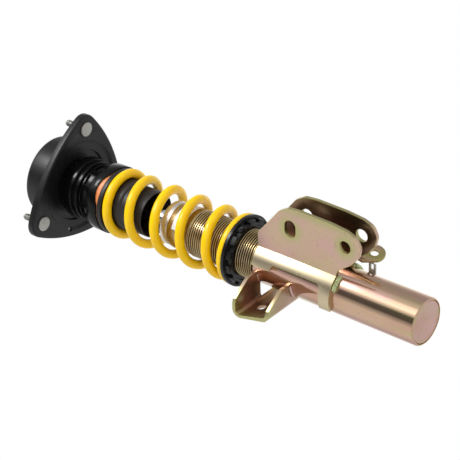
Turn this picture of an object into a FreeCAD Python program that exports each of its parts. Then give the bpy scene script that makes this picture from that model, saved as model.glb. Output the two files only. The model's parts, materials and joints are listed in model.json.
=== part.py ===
import FreeCAD, Part
import math
import os
import Sketcher

# A threaded-body coilover strut, upright, millimetres.
# Z runs along the strut up to the top mount.  The origin is the middle of the face that the
# strut tower clamps.  X is the way the knuckle ears reach, Y is across the two ears.

doc = FreeCAD.newDocument("coilover")
sheet = doc.addObject("Spreadsheet::Sheet", "Sizes")

SIZES = {
    # general fits
    "touch_gap": 0.05,
    "fit_gap": 0.3,
    # top mount
    "flange_thick": 3.0,
    "flange_corner_radius": 17.5,
    "flange_side_radius": 190.5,
    "flange_lip_height": 8.0,
    "dish_radius": 56.0,
    "dish_bore_radius": 44.5,
    "dish_step": 3.0,
    "drain_hole_radius": 2.5,
    "drain_hole_place": 55.5,
    "drain_hole_angle": 205.0,
    "drum_radius": 49.2,
    "drum_wall": 2.7,
    "drum_height": 43.1,
    "drum_crown_radius": 6.0,
    "nut_window_radius": 27.0,
    "stud_circle_radius": 70.4,
    "stud_radius": 4.0,
    "stud_knurl_radius": 4.4,
    "stud_head_radius": 8.7,
    "stud_head_thick": 2.0,
    "stud_reach": 28.0,
    "stud_tip_radius": 3.0,
    "floor_plate_thick": 3.0,
    "rod_sleeve_radius": 14.0,
    "rod_sleeve_height": 30.0,
    "spool_flange_radius": 24.0,
    "spool_flange_thick": 3.0,
    "spool_place": 10.0,
    "isolator_inset": 1.5,
    # steering bearing
    "bearing_radius": 38.0,
    "bearing_bore_radius": 27.5,
    "bearing_neck_radius": 33.0,
    "bearing_neck_height": 12.0,
    "bearing_cap_height": 12.0,
    "ball_radius": 2.5,
    "ball_circle_radius": 31.5,
    "ball_count": 24,
    "race_thick": 7.7,
    # upper spring seat
    "seat_neck_radius": 34.0,
    "seat_neck_height": 20.0,
    "seat_bore_radius": 24.5,
    "seat_pocket_depth": 3.0,
    "seat_pocket_height": 13.0,
    "seat_pocket_width": 15.0,
    "seat_pocket_count": 10,
    "seat_disc_radius": 41.0,
    "seat_disc_thick": 5.0,
    "seat_skirt_wall": 1.6,
    "seat_skirt_drop": 9.5,
    "skirt_window_width": 40.0,
    "skirt_window_height": 5.8,
    "skirt_window_angle": -45.0,
    "spigot_wall": 2.5,
    "spigot_length": 16.0,
    "thrust_ring_thick": 10.0,
    "pad_radius": 40.0,
    "pad_thick": 6.0,
    # spring
    "wire_radius": 5.5,
    "spring_radius": 36.0,
    "spring_length": 181.5,
    "spring_start_angle": -149.0,
    "dead_turns": 0.2,
    "end_turns": 0.8,
    "active_turns": 3.79,
    # dust boot
    "boot_upper_radius": 29.8,
    "boot_lower_radius": 27.6,
    "boot_wall": 1.2,
    "boot_upper_length": 34.0,
    "boot_length": 67.0,
    # rod, bump stop and piston
    "rod_radius": 11.0,
    "rod_neck_radius": 7.0,
    "rod_neck_length": 47.0,
    "rod_nut_across": 22.0,
    "rod_nut_thick": 12.0,
    "rod_washer_radius": 17.0,
    "rod_washer_thick": 2.5,
    "stop_radius": 21.0,
    "stop_groove": 3.0,
    "stop_length": 34.0,
    "stop_cup_thick": 2.0,
    "stroke": 60.0,
    "piston_thick": 20.0,
    "piston_clearance": 0.4,
    "piston_band_thick": 1.2,
    "piston_band_height": 9.0,
    "piston_from_top": 140.0,
    "piston_nut_across": 19.0,
    "piston_nut_thick": 9.0,
    "rod_end_radius": 6.0,
    # strut body
    "tube_radius": 27.0,
    "tube_wall": 2.5,
    "tube_length": 335.0,
    "thread_radius": 27.9,
    "thread_bottom": 210.0,
    "thread_top": 305.0,
    "gland_radius": 26.2,
    "gland_height": 12.0,
    "gland_depth": 14.0,
    "seal_radius": 17.0,
    "seal_thick": 6.0,
    "guide_thick": 22.0,
    "inner_tube_radius": 18.5,
    "inner_tube_wall": 1.5,
    "foot_valve_height": 16.0,
    "end_plate_thick": 4.0,
    "end_plate_inset": 0.4,
    "end_roll_radius": 4.0,
    "label_radius_gap": 0.25,
    "label_width": 16.0,
    "label_arc": 120.0,
    # lower spring collar
    "collar_radius": 42.0,
    "collar_height": 10.5,
    "collar_bottom": 233.0,
    "collar_band_radius": 39.0,
    "collar_band_height": 6.5,
    "collar_notch_depth": 3.5,
    "collar_notch_height": 5.5,
    "collar_notch_width": 7.5,
    "collar_notch_count": 14,
    "collar_recess_radius": 31.5,
    "collar_recess": 2.0,
    "collar_travel": 22.0,
    "grub_radius": 2.0,
    "grub_station": 4.2,
    "grub_socket_across": 2.0,
    "grub_angle": -19.5,
    # knuckle bracket
    "sheet_thick": 4.5,
    "ear_gap": 26.0,
    "bracket_bottom": 104.0,
    "bracket_top": 209.0,
    "ear_reach": 88.0,
    "ear_foot": 73.5,
    "bolt_hole_radius": 7.5,
    "bolt_place": 65.5,
    "bolt_station": 93.2,
    "slot_place": 62.5,
    "slot_station": 165.0,
    "slot_travel": 6.0,
    "window_bottom": 118.0,
    "window_top": 184.0,
    "window_edge": 15.5,
    "upper_strap_end": 8.7,
    "lower_strap_end": -13.0,
    "wrap_end_angle": 120.0,
    "ear_corner_radius": 10.0,
    "window_corner_radius": 5.0,
    "weld_radius": 3.0,
    "weld_start_angle": 28.0,
    "weld_end_angle": 66.0,
    # link bracket
    "link_sheet": 4.0,
    "link_top": 207.0,
    "link_bottom": 158.0,
    "link_reach": 67.0,
    "link_back": 6.0,
    "link_base_top": 39.5,
    "link_base_bottom": 28.5,
    "link_bend_radius": 5.0,
    "link_hole_radius": 5.3,
    "link_hole_place": 43.5,
    "link_hole_station": 184.0,
    "link_wall_back": 22.0,
    # brake hose tab and clip
    "tab_thick": 3.0,
    "tab_radius": 12.0,
    "tab_hole_radius": 4.5,
    "tab_place": 38.0,
    "tab_side": 30.3,
    "tab_station": 88.1,
    "tab_length": 34.0,
    "tab_width": 17.0,
    "clip_thick": 1.5,
    "clip_side": 19.5,
    "clip_station": 79.0,
    "clip_height": 9.0,
    "clip_slot_place": 24.0,
    "clip_slot_length": 6.5,
    "clip_slot_width": 3.5,
}


class Size:
    """A number that remembers the sheet expression it came from."""

    def __init__(self, value, text):
        self.value = float(value)
        self.text = text

    @staticmethod
    def of(item):
        if isinstance(item, Size):
            return item
        return Size(item, "(%r)" % float(item))

    def _join(self, other, sign, value):
        return Size(value, "(%s %s %s)" % (self.text, sign, other.text))

    def __add__(self, other):
        other = Size.of(other)
        return self._join(other, "+", self.value + other.value)

    def __radd__(self, other):
        return Size.of(other) + self

    def __sub__(self, other):
        other = Size.of(other)
        return self._join(other, "-", self.value - other.value)

    def __rsub__(self, other):
        return Size.of(other) - self

    def __mul__(self, other):
        other = Size.of(other)
        return self._join(other, "*", self.value * other.value)

    def __rmul__(self, other):
        return Size.of(other) * self

    def __truediv__(self, other):
        other = Size.of(other)
        return self._join(other, "/", self.value / other.value)

    def __neg__(self):
        return Size(-self.value, "(0 - %s)" % self.text)


class Sizes:
    """Every sheet cell as an attribute."""


size = Sizes()
for row, (alias, number) in enumerate(SIZES.items(), start=1):
    sheet.set("A%d" % row, alias)
    sheet.set("B%d" % row, "%s" % number)
    sheet.setAlias("B%d" % row, alias)
    setattr(size, alias, Size(number, "Sizes.%s" % alias))
doc.recompute()

# ---------------------------------------------------------------- stations along the strut
flange_bottom = -size.flange_thick
drum_top = size.drum_height
floor_bottom = size.dish_step + size.touch_gap
floor_top = floor_bottom + size.floor_plate_thick
bearing_cap_top = floor_bottom - size.bearing_neck_height
bearing_cap_bottom = bearing_cap_top - size.bearing_cap_height
race_top = bearing_cap_bottom - size.fit_gap
race_bottom = race_top - size.race_thick
ball_station = race_top + size.fit_gap / 2
seat_disc_top = race_bottom - size.seat_neck_height
seat_disc_bottom = seat_disc_top - size.seat_disc_thick
thrust_ring_bottom = seat_disc_bottom - size.thrust_ring_thick
pad_bottom = thrust_ring_bottom - size.pad_thick
spring_bottom = pad_bottom - size.spring_length
collar_bottom = spring_bottom - size.collar_height
tube_bottom = collar_bottom - size.collar_bottom
tube_top = tube_bottom + size.tube_length
gland_top = tube_top + size.gland_height
spigot_bottom = seat_disc_bottom - size.spigot_length
boot_top = seat_disc_bottom - size.touch_gap
boot_bottom = boot_top - size.boot_length
stop_bottom = gland_top + size.stroke + size.fit_gap
stop_top = stop_bottom + size.stop_length
rod_shoulder = floor_top + size.rod_sleeve_height / 2 + 1.5 - size.rod_sleeve_height
sleeve_top = rod_shoulder + size.rod_sleeve_height
piston_top = tube_top - size.piston_from_top
inner_tube_bore = size.inner_tube_radius - size.inner_tube_wall
tube_bore = size.tube_radius - size.tube_wall


# ---------------------------------------------------------------- drawing helpers
def new_body(label):
    body = doc.addObject("PartDesign::Body", label)
    body.Label = label
    body.Placement = FreeCAD.Placement()
    return body


def new_sketch(body, name, role, offset=None):
    """A sketch on one of the body's own origin planes, moved off it along its normal."""
    plane = [item for item in body.Origin.OriginFeatures if item.Role == role][0]
    sketch = body.newObject("Sketcher::SketchObject", name)
    sketch.AttachmentSupport = [(plane, "")]
    sketch.MapMode = "FlatFace"
    if offset is not None:
        offset = Size.of(offset)
        sketch.AttachmentOffset = FreeCAD.Placement(
            FreeCAD.Vector(0, 0, offset.value), FreeCAD.Rotation())
        sketch.setExpression("AttachmentOffset.Base.z", offset.text)
    return sketch


def pin_point(sketch, edge, end, across, along):
    """Tie one point of a sketch edge to two sizes measured from the sketch origin."""
    for kind, item in (("DistanceX", Size.of(across)), ("DistanceY", Size.of(along))):
        index = sketch.addConstraint(Sketcher.Constraint(kind, -1, 1, edge, end, item.value))
        sketch.setExpression("Constraints[%d]" % index, item.text)


def draw_outline(sketch, points):
    """A closed run of straight edges whose corners are tied to sizes."""
    vectors = [FreeCAD.Vector(Size.of(a).value, Size.of(b).value, 0) for a, b in points]
    first = sketch.GeometryCount
    for start, end in zip(vectors, vectors[1:] + vectors[:1]):
        sketch.addGeometry(Part.LineSegment(start, end), False)
    count = len(points)
    for step in range(count):
        after = first + (step + 1) % count
        sketch.addConstraint(Sketcher.Constraint("Coincident", first + step, 2, after, 1))
    for step, (across, along) in enumerate(points):
        pin_point(sketch, first + step, 1, across, along)


def draw_circle(sketch, across, along, radius):
    across, along, radius = Size.of(across), Size.of(along), Size.of(radius)
    centre = FreeCAD.Vector(across.value, along.value, 0)
    circle = Part.Circle(centre, FreeCAD.Vector(0, 0, 1), radius.value)
    edge = sketch.addGeometry(circle, False)
    index = sketch.addConstraint(Sketcher.Constraint("Radius", edge, radius.value))
    sketch.setExpression("Constraints[%d]" % index, radius.text)
    pin_point(sketch, edge, 3, across, along)


def add_revolution(body, name, points, angle=360):
    sketch = new_sketch(body, name + "_sketch", "XZ_Plane")
    draw_outline(sketch, points)
    feature = body.newObject("PartDesign::Revolution", name)
    feature.Profile = sketch
    feature.ReferenceAxis = (sketch, ["V_Axis"])
    feature.Angle = angle
    doc.recompute()
    return feature


def add_groove(body, name, points):
    before = body.Shape.Volume
    sketch = new_sketch(body, name + "_sketch", "XZ_Plane")
    draw_outline(sketch, points)
    feature = body.newObject("PartDesign::Groove", name)
    feature.Profile = sketch
    feature.ReferenceAxis = (sketch, ["V_Axis"])
    doc.recompute()
    check_cut(body, name, before)
    return feature


def check_cut(body, name, before):
    if body.Shape.Volume >= before - 1e-6:
        raise RuntimeError("%s in %s cut nothing" % (name, body.Label))


def add_pad(body, name, sketch, length):
    feature = body.newObject("PartDesign::Pad", name)
    feature.Profile = sketch
    feature.Length = Size.of(length).value
    feature.setExpression("Length", Size.of(length).text)
    doc.recompute()
    return feature


def add_through_pocket(body, name, sketch):
    """Cut a sketch right through the body, both ways."""
    before = body.Shape.Volume
    feature = body.newObject("PartDesign::Pocket", name)
    feature.Profile = sketch
    feature.Type = 1
    feature.Midplane = True
    doc.recompute()
    check_cut(body, name, before)
    return feature


def add_pocket(body, name, sketch, depth, reverse=False):
    before = body.Shape.Volume
    feature = body.newObject("PartDesign::Pocket", name)
    feature.Profile = sketch
    feature.Length = Size.of(depth).value
    feature.setExpression("Length", Size.of(depth).text)
    feature.Reversed = reverse
    doc.recompute()
    check_cut(body, name, before)
    return feature


def add_polar(body, name, feature, count):
    """Repeat a feature evenly round the strut's axis."""
    pattern = body.newObject("PartDesign::PolarPattern", name)
    pattern.Originals = [feature]
    axis = [item for item in body.Origin.OriginFeatures if item.Role == "Z_Axis"][0]
    pattern.Axis = (axis, [""])
    pattern.Angle = 360
    pattern.Occurrences = int(round(Size.of(count).value))
    pattern.setExpression("Occurrences", Size.of(count).text)
    body.Tip = pattern
    doc.recompute()
    return pattern


def add_fillet(body, name, edges, radius):
    if not edges:
        raise RuntimeError("%s in %s found no edge" % (name, body.Label))
    base = body.Tip
    feature = body.newObject("PartDesign::Fillet", name)
    feature.Base = (base, edges)
    feature.Radius = Size.of(radius).value
    feature.setExpression("Radius", Size.of(radius).text)
    doc.recompute()
    return feature


def edges_where(body, test):
    """Names of the body's edges that pass a test on the edge."""
    return ["Edge%d" % (place + 1) for place, edge in enumerate(body.Shape.Edges) if test(edge)]


def runs_along(edge, axis, across=None, tolerance=0.3):
    """True for a straight edge along an axis (0, 1 or 2) that stands at the given place."""
    if edge.Curve.TypeId != "Part::GeomLine":
        return False
    ends = [vertex.Point for vertex in edge.Vertexes]
    others = [item for item in range(3) if item != axis]
    if any(abs(ends[0][item] - ends[1][item]) > 1e-4 for item in others):
        return False
    if across is None:
        return True
    gaps = [abs(ends[0][item] - Size.of(place).value) for item, place in zip(others, across)]
    return max(gaps) < tolerance


def add_feature(label, shape):
    """A finished shape as an object of its own."""
    item = doc.addObject("Part::Feature", label)
    item.Label = label
    item.Shape = shape
    return item


def turned(label, points):
    """A ring or shaft turned from one closed profile of radius and height pairs."""
    body = new_body(label)
    add_revolution(body, label + "_turned", points)
    return body


def ring_profile(inner, outer, bottom, top):
    return [(inner, bottom), (outer, bottom), (outer, top), (inner, top)]


# ---------------------------------------------------------------- top mount
STUD_ANGLES = (12.0, 132.0, 252.0)


def flange_wire(height, inset=0.0):
    """The rounded triangle of the flange: three corner arcs joined by three slack side arcs."""
    corner = size.flange_corner_radius.value - inset
    side = size.flange_side_radius.value - inset
    place = size.stud_circle_radius.value
    half = math.radians(180.0 / len(STUD_ANGLES))
    # the side arc's centre lies across the axis, where it meets both corner arcs smoothly
    reach = (math.sqrt((side - corner) ** 2 - (place * math.sin(half)) ** 2)
             - place * math.cos(half))
    edges = []
    joints = []
    for angle in STUD_ANGLES:
        middle = math.radians(angle) + half
        centre = FreeCAD.Vector(-reach * math.cos(middle), -reach * math.sin(middle), height)
        for turn in (-half, half):
            stud = FreeCAD.Vector(place * math.cos(middle + turn),
                                  place * math.sin(middle + turn), height)
            joints.append(centre + (stud - centre).normalize() * side)
        crown = centre + FreeCAD.Vector(math.cos(middle), math.sin(middle), 0) * side
        edges.append(Part.Arc(joints[-2], crown, joints[-1]).toShape())
    for number, angle in enumerate(STUD_ANGLES):
        outward = FreeCAD.Vector(math.cos(math.radians(angle)), math.sin(math.radians(angle)), 0)
        tip = FreeCAD.Vector(0, 0, height) + outward * (place + corner)
        edges.append(Part.Arc(joints[2 * number - 1], tip, joints[2 * number]).toShape())
    return Part.Wire(Part.__sortEdges__(edges))


def flange_slab(bottom, top, inset=0.0):
    face = Part.Face(flange_wire(bottom, inset))
    return face.extrude(FreeCAD.Vector(0, 0, top - bottom))


def disc(radius, bottom, top, centre=(0.0, 0.0)):
    return Part.makeCylinder(radius, top - bottom, FreeCAD.Vector(centre[0], centre[1], bottom))


# How much wider the dished ring is outside than inside, as a share of the sheet.
DISH_WALL_SHARE = 0.6


def mount_flange():
    """Pressed plate with its rim turned up, a dished ring round the drum and three stud holes."""
    thick = size.flange_thick.value
    step = size.dish_step.value
    lip_top = -thick + size.flange_lip_height.value
    rim = flange_slab(-thick, lip_top).cut(flange_slab(0, lip_top + 1, thick))
    lower = [edge for edge in rim.Edges
             if all(abs(vertex.Z + thick) < 1e-6 for vertex in edge.Vertexes)]
    plate = rim.makeFillet(thick * 0.7, lower)
    inner_low = size.dish_radius.value
    outer_low = inner_low + thick * DISH_WALL_SHARE
    hollow = Part.makeCone(inner_low, inner_low - step, step, FreeCAD.Vector(0, 0, -thick))
    hump = Part.makeCone(outer_low, outer_low - step, step)
    plate = plate.fuse(hump).cut(hollow)
    plate = plate.cut(disc(size.dish_bore_radius.value, -thick - 1, step + 1))
    for angle in STUD_ANGLES:
        turn = math.radians(angle)
        place = (size.stud_circle_radius.value * math.cos(turn),
                 size.stud_circle_radius.value * math.sin(turn))
        hole = size.stud_knurl_radius.value + size.touch_gap.value
        plate = plate.cut(disc(hole, -thick - 1, 1, place))
    turn = math.radians(size.drain_hole_angle.value)
    reach = size.drain_hole_place.value
    place = (reach * math.cos(turn), reach * math.sin(turn))
    plate = plate.cut(disc(size.drain_hole_radius.value, -thick - 1, step + 1, place))
    return add_feature("mount_flange", plate.removeSplitter())


def mount_drum():
    """Steel cup that holds the rubber, with a window in its crown for the rod nut."""
    inner = size.drum_radius - size.drum_wall
    bottom = size.dish_step + size.touch_gap
    body = turned("mount_drum", [
        (inner, bottom), (size.drum_radius, bottom), (size.drum_radius, drum_top),
        (size.nut_window_radius, drum_top), (size.nut_window_radius, drum_top - size.drum_wall),
        (inner, drum_top - size.drum_wall)])
    top, radius = drum_top.value, size.drum_radius.value
    edges = edges_where(body, lambda edge: edge.Curve.TypeId == "Part::GeomCircle"
                        and abs(edge.Curve.Radius - radius) < 1e-3
                        and abs(edge.Curve.Center.z - top) < 1e-3)
    add_fillet(body, "drum_crown", edges, size.drum_crown_radius)
    return body


def mount_studs():
    """Three studs pressed in by their knurls, with a plain shank in place of each thread."""
    studs = []
    for angle in STUD_ANGLES:
        turn = math.radians(angle)
        place = (size.stud_circle_radius.value * math.cos(turn),
                 size.stud_circle_radius.value * math.sin(turn))
        bottom = flange_bottom.value - size.stud_head_thick.value
        radius = size.stud_radius.value
        shank_top = size.stud_reach.value - (radius - size.stud_tip_radius.value)
        stud = disc(size.stud_head_radius.value, bottom, flange_bottom.value, place)
        stud = stud.fuse(disc(size.stud_knurl_radius.value, flange_bottom.value - 0.5, 0, place))
        stud = stud.fuse(disc(radius, -0.5, shank_top, place))
        tip = Part.makeCone(radius, size.stud_tip_radius.value, size.stud_reach.value - shank_top,
                            FreeCAD.Vector(place[0], place[1], shank_top))
        studs.append(stud.fuse(tip).removeSplitter())
    return add_feature("mount_studs", Part.makeCompound(studs))


def floor_plate():
    """Pressed ring that closes the drum from below and carries the bearing."""
    inner_wall = size.drum_radius - size.drum_wall - size.touch_gap
    return turned("bearing_carrier_plate", ring_profile(
        size.rod_sleeve_radius + size.isolator_inset + 2.5, inner_wall,
        floor_bottom, floor_top))


def rod_sleeve():
    """Steel spool that the rod is bolted through, with a flange that the rubber grips."""
    middle = floor_top + size.spool_place
    flange_low = middle - size.spool_flange_thick / 2
    flange_high = middle + size.spool_flange_thick / 2
    bore = size.rod_neck_radius + size.touch_gap
    return turned("isolator_sleeve", [
        (bore, rod_shoulder), (size.rod_sleeve_radius, rod_shoulder),
        (size.rod_sleeve_radius, flange_low), (size.spool_flange_radius, flange_low),
        (size.spool_flange_radius, flange_high), (size.rod_sleeve_radius, flange_high),
        (size.rod_sleeve_radius, sleeve_top), (bore, sleeve_top)])


def rubber_isolator():
    """Rubber bush between the spool and the drum."""
    middle = floor_top + size.spool_place
    flange_low = middle - size.spool_flange_thick / 2 - size.touch_gap
    flange_high = middle + size.spool_flange_thick / 2 + size.touch_gap
    bottom = floor_top + size.isolator_inset
    top = drum_top - size.drum_wall - size.isolator_inset
    outer = size.drum_radius - size.drum_wall - size.touch_gap
    sleeve = size.rod_sleeve_radius + size.touch_gap
    spool = size.spool_flange_radius + size.touch_gap
    return turned("rubber_isolator", [
        (sleeve, bottom), (outer, bottom), (outer, top), (size.nut_window_radius, top),
        (sleeve + 4.0, flange_high + 2.0), (sleeve, flange_high + 2.0), (sleeve, flange_high),
        (spool, flange_high), (spool, flange_low), (sleeve, flange_low)])


def hexagon(across, bottom, top):
    """A hexagonal prism about the strut axis."""
    corner = across / math.sqrt(3.0)
    points = [FreeCAD.Vector(corner * math.cos(math.radians(60 * side)),
                             corner * math.sin(math.radians(60 * side)), bottom)
              for side in range(7)]
    return Part.Face(Part.makePolygon(points)).extrude(FreeCAD.Vector(0, 0, top - bottom))


def nut(label, across, thread_radius, bottom, top):
    """Hexagon nut with chamfered corners and a plain bore in place of its thread."""
    across, bottom, top = across.value, bottom.value, top.value
    body = hexagon(across, bottom, top)
    corner = across / math.sqrt(3.0)
    height = top - bottom
    spread = (corner - across / 2) * 0.6
    barrel = Part.makeCone(corner + height * 0.58 - spread, corner - spread, height,
                           FreeCAD.Vector(0, 0, bottom))
    body = body.common(barrel)
    bore = thread_radius.value + size.touch_gap.value
    return add_feature(label, body.cut(disc(bore, bottom - 1, top + 1)))


def rod_washer():
    return turned("rod_washer", ring_profile(
        size.rod_neck_radius + size.touch_gap, size.rod_washer_radius,
        sleeve_top + size.touch_gap, sleeve_top + size.touch_gap + size.rod_washer_thick))


def bearing_upper_race():
    """Bearing cap below the carrier plate, with the upper ball groove in its face."""
    body = turned("bearing_cap", [
        (size.bearing_bore_radius, bearing_cap_bottom), (size.bearing_radius, bearing_cap_bottom),
        (size.bearing_radius, bearing_cap_top), (size.bearing_neck_radius, bearing_cap_top),
        (size.bearing_neck_radius, floor_bottom - size.touch_gap),
        (size.bearing_bore_radius, floor_bottom - size.touch_gap)])
    add_groove(body, "ball_groove", groove_profile())
    return body


def groove_profile():
    """Square-sided channel that leaves each ball free of the race."""
    reach = size.ball_radius + size.fit_gap
    return ring_profile(size.ball_circle_radius - reach, size.ball_circle_radius + reach,
                        ball_station - reach, ball_station + reach)


def bearing_lower_race():
    body = turned("bearing_lower_race", ring_profile(
        size.bearing_bore_radius, size.bearing_radius - 1.5, race_bottom + size.touch_gap, race_top))
    reach = size.ball_radius + size.touch_gap
    add_groove(body, "ball_groove", ring_profile(
        size.ball_circle_radius - reach, size.ball_circle_radius + reach,
        ball_station - reach, ball_station + reach))
    return body


def bearing_balls():
    count = int(size.ball_count.value)
    balls = []
    for number in range(count):
        turn = 2 * math.pi * number / count
        place = FreeCAD.Vector(size.ball_circle_radius.value * math.cos(turn),
                               size.ball_circle_radius.value * math.sin(turn), ball_station.value)
        balls.append(Part.makeSphere(size.ball_radius.value, place))
    return add_feature("bearing_balls", Part.makeCompound(balls))


# ---------------------------------------------------------------- upper spring seat
def upper_spring_seat():
    """Moulded seat: pocketed neck, wide disc with a skirt, and a spigot that the boot hangs on."""
    spigot = size.seat_bore_radius + size.spigot_wall
    skirt_inner = size.seat_disc_radius - size.seat_skirt_wall
    skirt_bottom = seat_disc_bottom - size.seat_skirt_drop
    body = turned("upper_spring_seat", [
        (size.seat_bore_radius, spigot_bottom), (spigot, spigot_bottom),
        (spigot, seat_disc_bottom), (skirt_inner, seat_disc_bottom), (skirt_inner, skirt_bottom),
        (size.seat_disc_radius, skirt_bottom), (size.seat_disc_radius, seat_disc_top),
        (size.seat_neck_radius, seat_disc_top), (size.seat_neck_radius, race_bottom),
        (size.seat_bore_radius, race_bottom)])
    floor = size.seat_neck_radius - size.seat_pocket_depth
    middle = seat_disc_top + size.seat_neck_height / 2
    half_width = size.seat_pocket_width / 2
    half_height = size.seat_pocket_height / 2
    sketch = new_sketch(body, "pocket_sketch", "YZ_Plane", floor)
    draw_outline(sketch, [
        (-half_width, middle - half_height), (half_width, middle - half_height),
        (half_width, middle + half_height), (-half_width, middle + half_height)])
    pocket = add_pocket(body, "neck_pocket", sketch, size.seat_pocket_depth + 5.0, reverse=True)
    add_polar(body, "neck_pockets", pocket, size.seat_pocket_count)
    return body


def skirt_window():
    """Block that cuts the sight window in the skirt, over the thrust ring."""
    wide = size.skirt_window_width.value
    bottom = seat_disc_bottom.value - size.seat_skirt_drop.value
    height = size.skirt_window_height.value
    radius = (wide * wide / 4 + height * height) / (2 * height)
    lens = Part.makeCylinder(radius, 30, FreeCAD.Vector(0, 0, bottom + height - radius),
                             FreeCAD.Vector(1, 0, 0))
    keep = Part.makeBox(60, 200, height + 1, FreeCAD.Vector(0, -100, bottom - 1))
    lens = lens.common(keep)
    lens.translate(FreeCAD.Vector(size.seat_disc_radius.value - 15, 0, 0))
    lens.rotate(FreeCAD.Vector(), FreeCAD.Vector(0, 0, 1), size.skirt_window_angle.value)
    return lens


def windowed_seat():
    """The seat with the sight window cut through its skirt."""
    body = upper_spring_seat()
    body.Label = "seat_blank"
    cutter = add_feature("seat_window_cutter", skirt_window())
    cut = doc.addObject("Part::Cut", "upper_spring_seat_cut")
    cut.Base = body
    cut.Tool = cutter
    cut.Label = "upper_spring_seat"
    doc.recompute()
    return cut


def thrust_ring():
    """Slippery ring between the seat and the spring pad."""
    return turned("spring_thrust_ring", ring_profile(
        size.boot_upper_radius + size.fit_gap,
        size.seat_disc_radius - size.seat_skirt_wall - size.fit_gap,
        thrust_ring_bottom + size.touch_gap, seat_disc_bottom - size.touch_gap))


def spring_pad():
    return turned("upper_spring_pad", ring_profile(
        size.boot_upper_radius + size.fit_gap, size.pad_radius, pad_bottom,
        thrust_ring_bottom))


# How far the wire's middle stands above the ground end, as a share of its radius, and how
# many points a turn the helix is drawn through.
GROUND_SHARE = 0.62
SPRING_STEPS_PER_TURN = 12


def spring_height(turn):
    """Height of the wire's middle above the spring's lower end after so many turns."""
    end, active = size.end_turns.value, size.active_turns.value
    low = size.wire_radius.value * GROUND_SHARE
    top = size.spring_length.value - low
    pitch = (top - low) / (active + end)
    end_rise = pitch * end / 2
    turn = max(0.0, turn - size.dead_turns.value)
    if turn < end:
        return low + end_rise * (turn / end) ** 2
    if turn > end + active:
        return top - end_rise * ((2 * end + active - turn) / end) ** 2
    return low + end_rise + pitch * (turn - end)


def coil_spring():
    """Round wire wound on a helix whose last turn closes at each end, ground flat there."""
    total = size.dead_turns.value + 2 * size.end_turns.value + size.active_turns.value
    steps = int(total * SPRING_STEPS_PER_TURN)
    radius = size.spring_radius.value
    points = []
    for step in range(steps + 1):
        turn = total * step / steps
        angle = 2 * math.pi * turn
        points.append(FreeCAD.Vector(radius * math.cos(angle), radius * math.sin(angle),
                                     spring_bottom.value + spring_height(turn)))
    curve = Part.BSplineCurve()
    curve.interpolate(points)
    path = Part.Wire(curve.toShape())
    start = curve.tangent(curve.FirstParameter)[0]
    ring = Part.Wire(Part.makeCircle(size.wire_radius.value, points[0], start))
    coil = path.makePipeShell([ring], True, True)
    clip = disc(100, spring_bottom.value + size.touch_gap.value,
                spring_bottom.value + size.spring_length.value - size.touch_gap.value)
    coil = coil.common(clip)
    coil.rotate(FreeCAD.Vector(), FreeCAD.Vector(0, 0, 1), size.spring_start_angle.value)
    return add_feature("coil_spring", coil)


def dust_boot():
    """Thin rubber boot, wider above, that covers the rod and the bump stop."""
    upper, lower, wall = size.boot_upper_radius, size.boot_lower_radius, size.boot_wall
    step_low = boot_top - size.boot_upper_length - 3.0
    step_high = boot_top - size.boot_upper_length
    spigot = size.seat_bore_radius + size.spigot_wall + size.fit_gap
    return turned("dust_boot", [
        (lower - wall, boot_bottom), (lower, boot_bottom), (lower, step_low),
        (upper, step_high), (upper, boot_top), (spigot, boot_top),
        (spigot, spigot_bottom - 2.0), (upper - wall, spigot_bottom - 4.0),
        (upper - wall, step_high), (lower - wall, step_low)])


# ---------------------------------------------------------------- rod, stop and piston
def piston_rod():
    neck, shank = size.rod_neck_radius, size.rod_radius
    end = size.rod_end_radius
    piston_bottom = piston_top - size.piston_thick
    rod_end = piston_bottom - size.piston_nut_thick - 3.0
    return turned("piston_rod", [
        (0, rod_end), (end, rod_end), (end, piston_top), (shank, piston_top),
        (shank, rod_shoulder - 2.0), (shank - 1.0, rod_shoulder - size.touch_gap),
        (neck, rod_shoulder - size.touch_gap), (neck, rod_shoulder + size.rod_neck_length - 1.0),
        (neck - 1.0, rod_shoulder + size.rod_neck_length), (0, rod_shoulder + size.rod_neck_length)])


def bump_stop():
    """Foam stop on the rod, waisted twice so that it folds evenly."""
    bore = size.rod_radius + size.touch_gap
    outer, waist = size.stop_radius, size.stop_radius - size.stop_groove
    lift = size.stop_length / 5
    return turned("bump_stop", [
        (bore, stop_bottom), (waist, stop_bottom), (outer, stop_bottom + lift),
        (waist, stop_bottom + lift * 2), (outer, stop_bottom + lift * 3),
        (waist, stop_bottom + lift * 4), (outer, stop_top), (bore, stop_top)])


def bump_stop_cup():
    """Washer that backs the bump stop."""
    return turned("bump_stop_washer", ring_profile(
        size.rod_radius + size.touch_gap, size.stop_radius + 1.0, stop_top + size.touch_gap,
        stop_top + size.touch_gap + size.stop_cup_thick))


def piston():
    outer = inner_tube_bore - size.piston_clearance
    band_floor = outer - size.piston_band_thick
    middle = piston_top - size.piston_thick / 2
    low = middle - size.piston_band_height / 2
    high = middle + size.piston_band_height / 2
    bore = size.rod_end_radius + size.touch_gap
    bottom = piston_top - size.piston_thick
    return turned("damper_piston", [
        (bore, bottom), (outer, bottom), (outer, low), (band_floor, low), (band_floor, high),
        (outer, high), (outer, piston_top - size.touch_gap), (bore, piston_top - size.touch_gap)])


def piston_band():
    outer = inner_tube_bore - size.piston_clearance / 2
    floor = inner_tube_bore - size.piston_clearance - size.piston_band_thick + size.touch_gap
    middle = piston_top - size.piston_thick / 2
    half = size.piston_band_height / 2 - size.touch_gap
    return turned("piston_band", ring_profile(floor, outer, middle - half, middle + half))


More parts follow.
